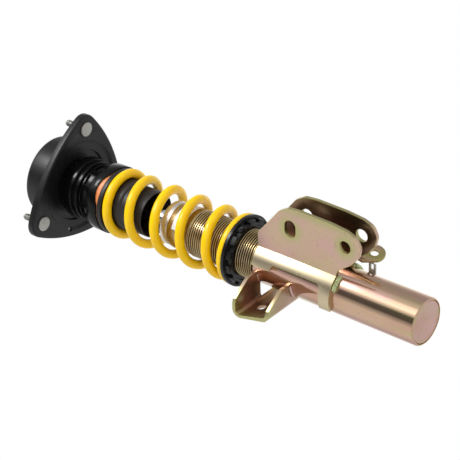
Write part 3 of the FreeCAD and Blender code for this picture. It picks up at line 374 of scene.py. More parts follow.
class Tint(Enum):
    """How the colours of the yellow passivation run over a piece."""

    TUBE = "along the tube"
    EAR = "round the bolt holes and over the wrap"
    LINK = "towards the open rim"
    # painted shade: the thread's grooves are darkened
    THREAD = "darker in the grooves"


@dataclass(frozen=True)
class YellowZinc:
    """Yellow passivated zinc: gold to copper metal with pink and green interference clouds.

    Each pair of lengths is where a tint starts and where it is full.
    """

    name: str
    tint: Tint
    gold: Triple = (0.61, 0.42, 0.29)
    copper: Triple = (0.58, 0.36, 0.26)
    pink: Triple = (0.66, 0.40, 0.38)
    green: Triple = (0.46, 0.47, 0.20)
    gloss: float = 0.2
    # rim: width of a painted highlight along the sharp edges
    rim: float = 0.0
    holes: tuple[Triple, ...] = ()
    shaded_groove_to_crest: Point = (0.0269, 0.0278)
    upper_tube: Point = (-0.21, -0.20)
    link_mouth: Point = (0.052, 0.064)
    wrap_end: Point = (0.026, 0.036)
    ear_outline: Point = (0.080, 0.090)
    hole_ring: Point = (0.012, 0.021)
    shaded_ear_gap: Point = (0.0133, 0.0140)
    shaded_gap_start: Point = (0.027, 0.030)

    def material(self) -> Finish:
        """Build the material."""
        shader = Shader(self.name)
        clouds = shader.noise(0.045, 2.0)
        drift = shader.noise(0.022, 3.0, (1.0, 1.0, 0.35))
        fine = shader.noise(0.0014, 3.0)
        colour = shader.mix(clouds.step(0.40, 0.62), self.gold, self.copper)
        colour = shader.mix(drift.step(0.46, 0.66) * 0.8, colour, self.pink)
        rough = self.gloss + (drift - 0.5) * 0.12
        if self.tint is Tint.EAR:
            colour = self._ear(shader, colour, drift)
        elif self.tint is Tint.TUBE:
            band = shader.noise(0.02, 2.0, (1.0, 1.0, 0.12)).step(0.52, 0.66)
            colour = shader.mix(band * 0.5, colour, self.green)
            upper = shader.axes()[2].step(*self.upper_tube)
            colour = shader.mix(upper * 0.85, colour, (0.40, 0.32, 0.16))
            rough = rough + upper * 0.14
        elif self.tint is Tint.LINK:
            outer = (0.0 - shader.axes()[1]).step(*self.link_mouth)
            colour = shader.mix(outer * 0.7, colour, self.green)
        elif self.tint is Tint.THREAD:
            # painted shade: dark brown in the thread's grooves, fading to the plating's colour at
            # the crests
            crest = shader.radius().step(*self.shaded_groove_to_crest)
            colour = shader.mix(crest, shade(66, 46, 20), colour)
            rough = rough + (1.0 - crest) * 0.25
        # painted highlight: a pale yellow strip along the sharp edges
        if self.rim:
            colour = shader.mix(shader.edge(self.rim) * 0.85, colour, shade(214, 206, 128))
        stain = shader.noise(0.004, 4.0).step(0.62, 0.80)
        colour = shader.mix(stain * 0.3, colour, shade(120, 92, 66))
        return shader.done(
            Base_Color=colour, Metallic=1.0, Roughness=rough,
            Normal=shader.bump(fine, 0.00002))

    def _ear(self, shader: Shader, colour: Value, drift: Value) -> Value:
        """Green rings round the bolt holes and outline, pale gold wrap, painted shade on the inner
        faces between the ears.

        Args:
            shader: The material's shader.
            colour: The colour so far.
            drift: Slow noise that breaks up the borders.

        Returns:
            The new colour.
        """
        across, aside, _ = shader.axes()
        wrap = 1.0 - (across + drift * 0.01).step(*self.wrap_end)
        colour = shader.mix(wrap * 0.75, colour, (0.62, 0.55, 0.36))
        outline = (across + drift * 0.008).step(*self.ear_outline)
        colour = shader.mix(outline * 0.7, colour, self.green)
        for hole in self.holes:
            ring = 1.0 - (shader.near(hole) + drift * 0.006).step(*self.hole_ring)
            colour = shader.mix(ring * 0.8, colour, self.green)
        # painted shade: the faces that look into the gap between the two ears are darkened to
        # brown
        side = shader.math("ABSOLUTE", aside)
        inner = (1.0 - side.step(*self.shaded_ear_gap)) * across.step(*self.shaded_gap_start)
        return shader.mix(inner * 0.75, colour, shade(104, 74, 48))


@dataclass(frozen=True)
class TurnedMetal:
    """Machined metal: fine turning lines round the axis under a bright skin."""

    name: str
    colour: Triple = (0.72, 0.70, 0.66)
    gloss: float = 0.25
    line: float = 0.0004
    depth: float = 0.00002

    def material(self) -> Finish:
        """Build the material."""
        shader = Shader(self.name)
        lines = shader.noise(self.line, 2.0, (0.01, 0.01, 1.0))
        clouds = shader.noise(0.01, 3.0)
        dull = tuple(value * 0.75 for value in self.colour)
        return shader.done(
            Base_Color=shader.mix(clouds.step(0.35, 0.75) * 0.5, self.colour, dull),
            Metallic=1.0, Roughness=self.gloss + (lines - 0.5) * 0.12,
            Normal=shader.bump(lines, self.depth))


@dataclass(frozen=True)
class PlainStock:
    """Moulded plastic, foam or paper stock with a cloudy tone and a fine grain."""

    name: str
    colour: Triple
    second: Triple
    gloss: float = 0.5
    grain: float = 0.0008
    depth: float = 0.00004

    def material(self) -> Finish:
        """Build the material."""
        shader = Shader(self.name)
        clouds = shader.noise(0.008, 3.0)
        grain = shader.noise(self.grain, 3.0)
        return shader.done(
            Base_Color=shader.mix(clouds.step(0.35, 0.7), self.colour, self.second),
            Roughness=self.gloss + (grain - 0.5) * 0.15,
            Normal=shader.bump(grain, self.depth))


@dataclass(frozen=True)
class LabelPaper:
    """Blank glossy sticker: white film with two plain blue rules."""

    name: str
    low: float
    high: float

    def material(self) -> Finish:
        """Build the material."""
        shader = Shader(self.name)
        height = shader.axes()[2]
        share = (height - self.low) / (self.high - self.low)
        rule = share.step(0.30, 0.32) * (1.0 - share.step(0.40, 0.42))
        rule = rule + share.step(0.56, 0.58) * (1.0 - share.step(0.62, 0.64))
        grain = shader.noise(0.002, 3.0)
        colour = shader.mix(rule * 0.8, shade(232, 231, 233), shade(86, 116, 176))
        return shader.done(Base_Color=colour, Roughness=0.28 + (grain - 0.5) * 0.1,
                           Normal=shader.bump(grain, 0.00001))


@dataclass(frozen=True)
class WeldSkin:
    """Plated weld bead: stronger and greener colours than the sheet."""

    name: str
    first: Triple
    second: Triple

    def material(self) -> Finish:
        """Build the material."""
        shader = Shader(self.name)
        clouds = shader.noise(0.004, 3.0)
        fine = shader.noise(0.0007, 3.0)
        return shader.done(
            Base_Color=shader.mix(clouds.step(0.4, 0.62), self.first, self.second),
            Metallic=1.0, Roughness=0.30 + (fine - 0.5) * 0.2,
            Normal=shader.bump(fine, 0.00008))


# -------------------- modelling bench
class Bench:
    """Modelling moves that the sub-assemblies share, made with the edit-mode tools."""

    @staticmethod
    def clear() -> None:
        """Leave edit mode and deselect everything."""
        active = bpy.context.view_layer.objects.active
        if active and active.mode != "OBJECT":
            bpy.ops.object.mode_set(mode="OBJECT")
        bpy.ops.object.select_all(action="DESELECT")
        bpy.context.view_layer.objects.active = None

    @staticmethod
    def pick(piece: Piece) -> None:
        """Make one object the only selected and active one."""
        Bench.clear()
        piece.select_set(True)
        bpy.context.view_layer.objects.active = piece

    @staticmethod
    def outline(name: str, points: list[Point]) -> Piece:
        """Draw a closed section in the XZ plane: one vertex extruded from point to point.

        Args:
            name: The piece's name.
            points: Radius and height of each corner, in metres.

        Returns:
            The object, left in edit mode with all of it selected.
        """
        Bench.clear()
        bpy.ops.mesh.primitive_plane_add(size=MM)
        piece = bpy.context.object
        piece.name = name
        bpy.ops.object.mode_set(mode="EDIT")
        bpy.ops.mesh.select_all(action="SELECT")
        bpy.ops.mesh.merge(type="CENTER")
        route = points + points[:1]
        bpy.ops.transform.translate(value=(route[0][0], 0.0, route[0][1]))
        for (x, z), (next_x, next_z) in zip(route, route[1:]):
            bpy.ops.mesh.extrude_region_move(
                TRANSFORM_OT_translate={"value": (next_x - x, 0.0, next_z - z)})
        bpy.ops.mesh.select_all(action="SELECT")
        bpy.ops.mesh.remove_doubles(threshold=MERGE)
        return piece

    @staticmethod
    def turned(name: str, points: list[Point], rounding: float = 0.0, steps: int = 96,
               centre: Point = (0.0, 0.0)) -> Piece:
        """Turn a closed section round the strut's axis.

        Args:
            name: The piece's name.
            points: Radius and height of each corner, in metres.
            rounding: Radius given to its sharp edges.
            steps: Facets round the axis.
            centre: Where the turned piece stands, across the strut.

        Returns:
            The finished piece.
        """
        piece = Bench.outline(name, points)
        bpy.ops.mesh.spin(steps=steps, angle=math.tau, center=(0.0, 0.0, 0.0),
                          axis=(0.0, 0.0, 1.0))
        bpy.ops.mesh.select_all(action="SELECT")
        bpy.ops.mesh.remove_doubles(threshold=MERGE)
        bpy.ops.mesh.normals_make_consistent(inside=False)
        if centre != (0.0, 0.0):
            bpy.ops.transform.translate(value=(*centre, 0.0))
        bpy.ops.object.mode_set(mode="OBJECT")
        if rounding:
            Bench.rounded(piece, rounding)
        return Bench.smooth(piece)

    @staticmethod
    def rounded(piece: Piece, width: float, segments: int = 2) -> None:
        """Round the sharp edges of a piece with an applied Bevel modifier.

        Args:
            piece: The piece.
            width: Radius of the edges, in metres.
            segments: Facets across each rounded edge.
        """
        Bench.pick(piece)
        bevel = piece.modifiers.new("rounding", "BEVEL")
        bevel.width = width
        bevel.segments = segments
        bevel.limit_method = "ANGLE"
        bevel.angle_limit = SMOOTH_ANGLE
        bpy.ops.object.modifier_apply(modifier=bevel.name)

    @staticmethod
    def smooth(piece: Piece, angle: float = SMOOTH_ANGLE) -> Piece:
        """Shade a piece smooth below an angle."""
        Bench.pick(piece)
        bpy.ops.object.shade_smooth_by_angle(angle=angle)
        return piece

    @staticmethod
    def softened(node: str, name: str, width: float, segments: int = 2) -> Piece:
        """Copy a node's mesh, weld its triangles and round its edges.

        Args:
            node: The node that the piece stands for.
            name: The piece's name.
            width: Radius of the edges, in metres.
            segments: Facets across each rounded edge.

        Returns:
            The finished piece, which replaces the node.
        """
        Bench.clear()
        piece = bpy.data.objects.new(name, frame["nodes"][node].data.copy())
        piece.data.materials.clear()
        bpy.context.scene.collection.objects.link(piece)
        Bench.pick(piece)
        bpy.ops.object.mode_set(mode="EDIT")
        bpy.ops.mesh.select_all(action="SELECT")
        bpy.ops.mesh.remove_doubles(threshold=MERGE)
        bpy.ops.mesh.dissolve_limited(angle_limit=math.radians(0.4))
        bpy.ops.object.mode_set(mode="OBJECT")
        Bench.rounded(piece, width, segments)
        Bench.smooth(piece)
        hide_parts(node)
        return piece

    @staticmethod
    def thread(name: str, section: list[Point], pitch: float, turns: int, steps: int) -> Piece:
        """Wind a closed tooth section into a helical ridge whose ends run out to a point.

        Args:
            name: The ridge's name.
            section: Radius and height of each corner, in metres.
            pitch: Its rise in one turn.
            turns: How many turns it makes.
            steps: Facets in one turn.

        Returns:
            The finished ridge.
        """
        piece = Bench.outline(name, section)
        bpy.ops.object.mode_set(mode="OBJECT")
        screw = piece.modifiers.new("thread", "SCREW")
        screw.screw_offset = pitch
        screw.iterations = turns
        screw.steps = screw.render_steps = steps
        Bench.pick(piece)
        bpy.ops.object.modifier_apply(modifier=screw.name)
        bpy.ops.object.mode_set(mode="EDIT")
        bpy.ops.mesh.select_all(action="DESELECT")
        bpy.ops.mesh.select_mode(type="VERT")
        bpy.ops.mesh.select_non_manifold()
        bpy.ops.mesh.merge(type="COLLAPSE")
        bpy.ops.mesh.select_all(action="SELECT")
        bpy.ops.mesh.normals_make_consistent(inside=False)
        bpy.ops.object.mode_set(mode="OBJECT")
        return Bench.smooth(piece, math.radians(50.0))

    @staticmethod
    def rod_along(name: str, points: list[Vector], radius: float | list[float],
                  sides: int = 6) -> Piece:
        """Sweep a round section along points, with closed ends.

        Args:
            name: The piece's name.
            points: The route.
            radius: One radius, or one for each point.
            sides: Bevel resolution of the section.

        Returns:
            The finished piece.
        """
        Bench.clear()
        curve = bpy.data.curves.new(name, "CURVE")
        curve.dimensions = "3D"
        curve.bevel_depth = 1.0
        curve.bevel_resolution = sides
        curve.use_fill_caps = True
        spline = curve.splines.new("POLY")
        spline.points.add(len(points) - 1)
        for index, point in enumerate(points):
            spline.points[index].co = (*point, 1.0)
            spline.points[index].radius = radius if isinstance(radius, float) else radius[index]
        piece = bpy.data.objects.new(name, curve)
        bpy.context.scene.collection.objects.link(piece)
        Bench.pick(piece)
        bpy.ops.object.convert(target="MESH")
        piece = bpy.context.object
        bpy.ops.object.mode_set(mode="EDIT")
        bpy.ops.mesh.select_all(action="SELECT")
        bpy.ops.mesh.remove_doubles(threshold=MERGE)
        bpy.ops.mesh.normals_make_consistent(inside=False)
        bpy.ops.object.mode_set(mode="OBJECT")
        return Bench.smooth(piece)

    @staticmethod
    def cut(piece: Piece, height: float, keep_above: bool) -> None:
        """Grind a piece flat at one height and close the cut.

        Args:
            piece: The piece.
            height: Where it is cut.
            keep_above: Whether what is above the cut stays, or what is below it.
        """
        Bench.pick(piece)
        bpy.ops.object.mode_set(mode="EDIT")
        bpy.ops.mesh.select_all(action="SELECT")
        bpy.ops.mesh.bisect(plane_co=(0.0, 0.0, height), plane_no=(0.0, 0.0, 1.0),
                            use_fill=True, clear_inner=keep_above, clear_outer=not keep_above)
        bpy.ops.object.mode_set(mode="OBJECT")

    @staticmethod
    def copy(piece: Piece, name: str, move: Vector) -> Piece:
        """Copy a piece to another place, with its own mesh.

        Args:
            piece: The piece.
            name: The copy's name.
            move: How far the copy stands from the piece.

        Returns:
            The copy.
        """
        twin = piece.copy()
        twin.data = piece.data.copy()
        twin.name = name
        bpy.context.scene.collection.objects.link(twin)
        twin.data.transform(Matrix.Translation(move))
        return twin

    @staticmethod
    def join(first: Piece, second: Piece) -> None:
        """Join the second piece into the first one."""
        Bench.pick(first)
        second.select_set(True)
        bpy.ops.object.join()


def dress(piece: Piece, material: Finish) -> None:
    """Give a piece one material."""
    piece.data.materials.clear()
    piece.data.materials.append(material)


def fit(piece: Piece, body: str, material: Finish) -> None:
    """Dress a new piece and let it ride on its body.

    Args:
        piece: The piece.
        body: The body that it moves with.
        material: Its finish.
    """
    dress(piece, material)
    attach(piece, body)
    LOG.info("%s: %d faces on %s", piece.name, len(piece.data.polygons), body)


def dress_node(node: str, material: Finish) -> None:
    """Give a carried-over node its finish."""
    dress(frame["nodes"][node], material)
    LOG.info("%s dressed in %s", node, material.name)


# -------------------- sub-assemblies
@dataclass
class TopMount:
    """Pressed tower mount: flange, drum, studs, isolator and the bearing's cap."""

    edge: float = 0.5 * MM
    stud_pitch: float = 1.25 * MM
    stud_core: float = 3.35 * MM
    stud_radius: float = 4.0 * MM
    stud_head: float = 8.7 * MM
    head_thick: float = 2.0 * MM
    stud_angles: Triple = (12.0, 132.0, 252.0)

    def build(self) -> None:
        """Make and dress the mount's pieces."""
        paint = BlackPaint("pressing_black", gloss=0.36, spread=0.14).material()
        moulded = BlackPaint("cap_black", colour=(0.0025, 0.0026, 0.0025), gloss=0.15,
                             sheen=0.2, spread=0.06).material()
        fit(Bench.softened("mount_flange", "flange_pressing", self.edge, 3),
            "top_mount", paint)
        fit(Bench.softened("mount_drum", "drum_pressing", 1.0 * MM, 3),
            "top_mount", paint)
        fit(Bench.softened("bearing_cap", "bearing_cap_shell", 0.4 * MM),
            "top_mount", moulded)
        self._studs()
        self._inner(paint)

    def _studs(self) -> None:
        """Three pressed-in studs with rolled threads and grainy round heads."""
        first, *others = self._stud_places()
        low, top = (corner.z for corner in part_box("mount_studs"))
        head_top = low + self.head_thick
        radius, core = self.stud_radius, self.stud_core
        stud = Bench.turned("stud_1", [
            (0.0, low), (self.stud_head - 0.5 * MM, low), (self.stud_head, low + 0.4 * MM),
            (self.stud_head, head_top), (radius, head_top), (radius, 2.0 * MM),
            (core, 2.6 * MM), (core, top - 1.4 * MM), (core - 0.9 * MM, top), (0.0, top)],
            0.15 * MM, 40, (first.x, first.y))
        ridge = Bench.thread("stud_ridge", [
            (core - 0.15 * MM, 2.4 * MM), (radius - 0.04 * MM, 2.85 * MM),
            (radius - 0.04 * MM, 3.0 * MM), (core - 0.15 * MM, 3.45 * MM)],
            self.stud_pitch, int((top - 5.2 * MM) / self.stud_pitch), 24)
        ridge.data.transform(Matrix.Translation(Vector((first.x, first.y, 0.0))))
        Bench.join(stud, ridge)
        parts = [stud] + [Bench.copy(stud, "stud_%d" % index, place - first)
                          for index, place in enumerate(others, 2)]
        zinc = PlatedSteel("stud_zinc", colour=shade(196, 195, 190), gloss=0.5,
                           grain=0.0011, depth=0.00012, metal=0.75).material()
        for part in parts:
            fit(part, "top_mount", zinc)
        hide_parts("mount_studs")

    def _stud_places(self) -> list[Vector]:
        """Where the studs stand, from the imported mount's pattern.

        Returns:
            The middle of each stud.
        """
        mount = next(item for item in frame["record"]["mounts"] if item["name"] == "top_studs")
        radius = mount["dims"]["pcd_mm"] * MM / 2
        return [Vector((radius * math.cos(math.radians(turn)),
                        radius * math.sin(math.radians(turn)), 0.0))
                for turn in self.stud_angles]

    def _inner(self, paint: Finish) -> None:
        """Finishes of the pieces inside the drum.

        Args:
            paint: The black of the outer pressings, which the carrier plate shares.
        """
        steel = PlatedSteel("zinc_bright").material()
        rubber = Rubber("isolator_rubber").material()
        dress_node("rubber_isolator", rubber)
        dress_node("bearing_carrier_plate", paint)
        for node in ("isolator_sleeve", "rod_washer"):
            dress_node(node, steel)
        fit(Bench.softened("rod_nut", "rod_lock_nut", 0.3 * MM), "top_mount", steel)
        chrome = TurnedMetal("hard_chrome", colour=(0.82, 0.83, 0.85), gloss=0.08,
                             line=0.0003, depth=0.000002).material()
        dress_node("piston_rod", chrome)
        dress_node("bump_stop", PlainStock("stop_foam", shade(206, 196, 150), shade(190, 176, 120),
                                           0.8, 0.0012, 0.0002).material())
        damper = TurnedMetal("damper_steel", colour=(0.48, 0.48, 0.5)).material()
        for node in ("damper_piston", "piston_nut", "bump_stop_washer"):
            dress_node(node, damper)
        dress_node("piston_band", PlainStock("band_plastic", shade(60, 74, 66), shade(44, 58, 50),
                                             0.35).material())


@dataclass
class UpperSeat:
    """Turning spring seat: bearing race, moulded seat, slip ring, pad and dust boot."""

    boot_wall: float = 1.3 * MM
    boot_bore: float = 16.0 * MM
    upper_radius: float = 29.8 * MM
    lower_radius: float = 27.6 * MM
    upper_length: float = 34.0 * MM
    rib_count: int = 3
    rib_pitch: float = 3.6 * MM
    rib_depth: float = 0.9 * MM

    def build(self) -> None:
        """Make and dress the seat's pieces."""
        moulded = BlackPaint("seat_black", colour=(0.0025, 0.0026, 0.0025), gloss=0.17,
                             sheen=0.16, spread=0.10).material()
        fit(Bench.softened("upper_spring_seat", "seat_moulding", 0.35 * MM),
            "upper_seat", moulded)
        fit(Bench.softened("bearing_lower_race", "race_shell", 0.35 * MM),
            "upper_seat", moulded)
        slip = PlainStock("slip_orange", shade(238, 150, 92), shade(228, 128, 66), 0.42)
        fit(Bench.softened("spring_thrust_ring", "slip_ring", 0.3 * MM),
            "upper_seat", slip.material())
        fit(Bench.softened("upper_spring_pad", "spring_pad", 0.9 * MM, 3),
            "upper_seat", Rubber("pad_rubber", colour=(0.004, 0.004, 0.004),
                                         bloom=(0.012, 0.012, 0.012), gloss=0.4).material())
        dress_node("bearing_balls", TurnedMetal("ball_steel", gloss=0.06).material())
        self._boot()

    def _boot(self) -> None:
        """Thin rubber boot: ribs under the seat, a wide sleeve and a narrower skirt."""
        low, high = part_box("dust_boot")
        wall, wide, slim = self.boot_wall, self.upper_radius, self.lower_radius
        step = high.z - self.upper_length
        outer: list[Point] = [(slim, low.z), (slim, step - 1.5 * MM), (wide - 0.3 * MM, step),
                              (wide, step + 0.6 * MM)]
        rib_low = high.z - 2.0 * MM - self.rib_count * self.rib_pitch
        for rib in range(self.rib_count):
            base = rib_low + rib * self.rib_pitch
            outer += [(wide, base), (wide - self.rib_depth, base + 0.5 * self.rib_pitch),
                      (wide, base + self.rib_pitch)]
        outer = [point for index, point in enumerate(outer)
                 if index == 0 or point != outer[index - 1]]
        outer.append((wide, high.z))
        bore, behind = self.boot_bore, wide - wall - self.rib_depth
        inner = [(bore, high.z), (bore, high.z - wall), (behind, high.z - wall),
                 (behind, rib_low), (wide - wall, rib_low - 1.0 * MM),
                 (wide - wall, step), (slim - wall, step - 1.5 * MM), (slim - wall, low.z)]
        boot = Bench.turned("boot_rubber", outer + inner, 0.35 * MM, 120)
        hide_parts("dust_boot")
        fit(boot, "upper_seat",
            Rubber("boot_rubber", colour=(0.012, 0.010, 0.010), bloom=(0.032, 0.028, 0.026),
                   gloss=0.42).material())
        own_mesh(boot)


@dataclass
class CoilSpring:
    """Round-wire spring whose last turn closes at each end and is ground flat there."""

    wire: float = 5.5 * MM
    coil: float = 36.0 * MM
    start: float = -149.0
    dead_turns: float = 0.2
    end_turns: float = 0.8
    active_turns: float = 3.79
    grind: float = 0.02 * MM
    steps: int = 56
    stroke: float = 60.0 * MM

    def build(self) -> None:
        """Make and dress the spring."""
        low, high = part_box("coil_spring")
        total = self.dead_turns + 2 * self.end_turns + self.active_turns
        count = int(total * self.steps)
        route = []
        for index in range(count + 1):
            turn = total * index / count
            angle = math.tau * turn + math.radians(self.start)
            route.append(Vector((self.coil * math.cos(angle), self.coil * math.sin(angle),
                                 low.z + self.height(turn, high.z - low.z))))
        spring = Bench.rod_along("spring_wire", route, self.wire, 7)
        Bench.cut(spring, low.z + self.grind, keep_above=True)
        Bench.cut(spring, high.z - self.grind, keep_above=False)
        Bench.smooth(spring)
        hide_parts("coil_spring")
        fit(spring, "spring_carrier", SpringCoat("spring_yellow").material())
        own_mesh(spring)

    def height(self, turn: float, length: float) -> float:
        """Height of the wire's middle above the spring's foot.

        Args:
            turn: Turns made from the wire's lower end.
            length: The spring's length.

        Returns:
            The height.
        """
        low = self.wire * 0.62
        top = length - low
        pitch = (top - low) / (self.active_turns + self.end_turns)
        end_rise = pitch * self.end_turns / 2
        turn = max(0.0, turn - self.dead_turns)
        if turn < self.end_turns:
            return low + end_rise * (turn / self.end_turns) ** 2
        if turn > self.end_turns + self.active_turns:
            left = 2 * self.end_turns + self.active_turns - turn
            return top - end_rise * (left / self.end_turns) ** 2
        return low + end_rise + pitch * (turn - self.end_turns)


@dataclass
class Collar:
    """Notched spring collar with its grub screw."""

    edge: float = 0.55 * MM

    def build(self) -> None:
        """Make and dress the collar."""
        black = BlackPaint("collar_black", colour=(0.004, 0.004, 0.0045), gloss=0.26,
                           spread=0.12).material()
        fit(Bench.softened("spring_collar", "collar_ring", self.edge, 3),
            "collar", black)
        fit(Bench.softened("collar_grub_screw", "grub_screw_socket", 0.15 * MM),
            "collar", PlatedSteel("screw_zinc", shade(200, 200, 196)).material())


@dataclass
class StrutBody:
    """Threaded tube, gland, brackets, welds and the damper's inner parts."""

    radius: float = 27.0 * MM
    wall: float = 2.45 * MM
    root: float = 26.6 * MM
    pitch: float = 3.0 * MM
    thread_low: float = 210.0 * MM
    thread_high: float = 305.0 * MM
    edge: float = 0.6 * MM
    wrap_arc: Point = (27.0, 66.0)
    wrap_bead: float = 3.2 * MM
    link_wall: float = 4.0 * MM

    def build(self) -> None:
        """Make and dress the body's pieces."""
        self._tube()
        self._gland()
        self._brackets()
        self._small_parts()

    def _tube(self) -> None:
        """Drawn tube with a rolled foot, and the ridge of its rolled thread."""
        low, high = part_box("strut_tube")
        bore = self.radius - self.wall
        floor = self.root - 0.15 * MM
        zinc = YellowZinc("tube_zinc", Tint.TUBE, gloss=0.13, rim=1.0 * MM).material()
        tube = Bench.turned("body_tube", [
            (bore, low.z + 0.35 * MM), (self.radius - 2.2 * MM, low.z),
            (self.radius - 1.3 * MM, low.z + 0.35 * MM),
            (self.radius - 0.4 * MM, low.z + 1.2 * MM), (self.radius, low.z + 2.4 * MM),
            (self.radius, low.z + self.thread_low - 1.0 * MM),
            (floor, low.z + self.thread_low), (floor, low.z + self.thread_high),
            (self.radius, low.z + self.thread_high + 0.6 * MM),
            (self.radius, high.z), (bore, high.z)], 0.3 * MM, 144)
        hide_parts("strut_tube")
        fit(tube, "strut_body", zinc)
        crest = high.x - 0.02 * MM
        start = low.z + self.thread_low + 0.5 * MM
        foot = self.root - 0.35 * MM
        half = self.pitch / 2
        ridge = Bench.thread("body_thread", [
            (foot, start - 0.95 * half), (self.root + 0.35 * MM, start - 0.62 * half),
            (crest - 0.12 * MM, start - 0.26 * half), (crest, start - 0.12 * half),
            (crest, start + 0.12 * half), (crest - 0.12 * MM, start + 0.26 * half),
            (self.root + 0.35 * MM, start + 0.62 * half), (foot, start + 0.95 * half)],
            self.pitch, int((self.thread_high - self.thread_low - 1.0 * MM) / self.pitch), 72)
        fit(ridge, "strut_body",
            YellowZinc("thread_zinc", Tint.THREAD, gold=(0.58, 0.47, 0.24),
                       copper=(0.54, 0.42, 0.22), pink=(0.60, 0.48, 0.30),
                       gloss=0.24).material())
        plate = Bench.softened("tube_end_plate", "tube_foot_plate", 0.15 * MM)
        fit(plate, "strut_body",
            YellowZinc("foot_zinc", Tint.TUBE, gold=(0.64, 0.44, 0.37), gloss=0.34).material())

    def _gland(self) -> None:
        """Gland nut on top of the tube, and the blank label below the thread."""
        alloy = TurnedMetal("gland_alloy", colour=(0.80, 0.79, 0.78), gloss=0.36).material()
        fit(Bench.softened("gland_nut", "gland_cap", 0.4 * MM), "strut_body", alloy)
        low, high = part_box("body_label")
        fit(Bench.softened("body_label", "blank_label", 0.05 * MM, 1), "strut_body",
            LabelPaper("blank_label", low.z, high.z).material())

    def _brackets(self) -> None:
        """Knuckle ears, link bracket, hose tab and the welds."""
        holes = tuple(tuple(item["pos_m"]) for item in frame["record"]["mounts"]
                      if item["name"].startswith("knuckle"))
        ear = YellowZinc("ear_zinc", Tint.EAR, gold=(0.60, 0.45, 0.30), copper=(0.62, 0.42, 0.34),
                         gloss=0.34, rim=1.4 * MM, holes=holes).material()
        for side in ("front", "rear"):
            fit(Bench.softened(side + "_knuckle_bracket", side + "_knuckle_ear", self.edge, 3),
                "strut_body", ear)
        link = YellowZinc("link_zinc", Tint.LINK, gold=(0.46, 0.36, 0.21),
                          copper=(0.46, 0.32, 0.22), pink=(0.54, 0.38, 0.32),
                          gloss=0.33, rim=1.2 * MM).material()
        fit(Bench.softened("link_bracket", "link_channel", self.edge, 3),
            "strut_body", link)
        tab = YellowZinc("tab_zinc", Tint.LINK, gold=(0.42, 0.38, 0.14), copper=(0.45, 0.36, 0.18),
                         gloss=0.35, rim=0.8 * MM).material()
        fit(Bench.softened("brake_hose_tab", "hose_tab_plate", 0.35 * MM),
            "strut_body", tab)
        self._welds()

    def _welds(self) -> None:
        """Rippled fillet beads where the pressings meet the tube."""
        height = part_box("bracket_welds")[0].z + 3.0 * MM
        near, far = self.wrap_arc
        front = self.bead("front_wrap_weld", height, -far, -near, self.wrap_bead)
        rear = self.bead("rear_wrap_weld", height, near, far, self.wrap_bead)
        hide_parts("bracket_welds")
        green = WeldSkin("weld_green", (0.42, 0.52, 0.24), (0.60, 0.58, 0.36)).material()
        for bead in (front, rear):
            fit(bead, "strut_body", green)
        low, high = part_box("link_bracket")
        rose = WeldSkin("weld_pink", (0.66, 0.44, 0.42), (0.60, 0.46, 0.34)).material()
        for name, height, start, end, radius in (
                ("link_lower_weld", low.z - 0.8 * MM, -128.0, -92.0, 1.9 * MM),
                ("link_upper_weld", high.z - self.link_wall - 0.6 * MM, -122.0, -96.0, 1.5 * MM)):
            fit(self.bead(name, height, start, end, radius), "strut_body", rose)

    def bead(self, name: str, height: float, start: float, end: float, radius: float) -> Piece:
        """A weld bead round part of the tube, swollen into ripples.

        Args:
            name: The piece's name.
            height: Height of its middle.
            start: Where it starts round the tube, in degrees.
            end: Where it ends, in degrees.
            radius: Its radius.

        Returns:
            The finished bead.
        """
        ring = self.radius + 0.35 * radius
        length = math.radians(end - start) * ring
        count = max(12, int(length / (0.35 * MM)))
        route, sizes = [], []
        for index in range(count + 1):
            share = index / count
            turn = math.radians(start + (end - start) * share)
            wave = math.sin(share * length / (1.3 * MM) * math.tau)
            route.append(Vector((ring * math.cos(turn), ring * math.sin(turn),
                                 height + 0.12 * radius * wave)))
            taper = min(1.0, 6.0 * min(share, 1.0 - share) + 0.35)
            sizes.append(radius * taper * (0.94 + 0.06 * wave))
        return Bench.rod_along(name, route, sizes, 4)

    def _small_parts(self) -> None:
        """Clip and the parts inside the tube."""
        fit(Bench.softened("hose_clip", "hose_clip_spring", 0.15 * MM), "strut_body",
            PlatedSteel("clip_zinc", shade(228, 226, 214), 0.42, metal=0.5).material())
        damper = TurnedMetal("inner_steel", colour=(0.5, 0.5, 0.52)).material()
        for node in ("rod_guide", "pressure_tube", "foot_valve"):
            dress_node(node, damper)
        dress_node("rod_seal", Rubber("seal_rubber", gloss=0.3).material())


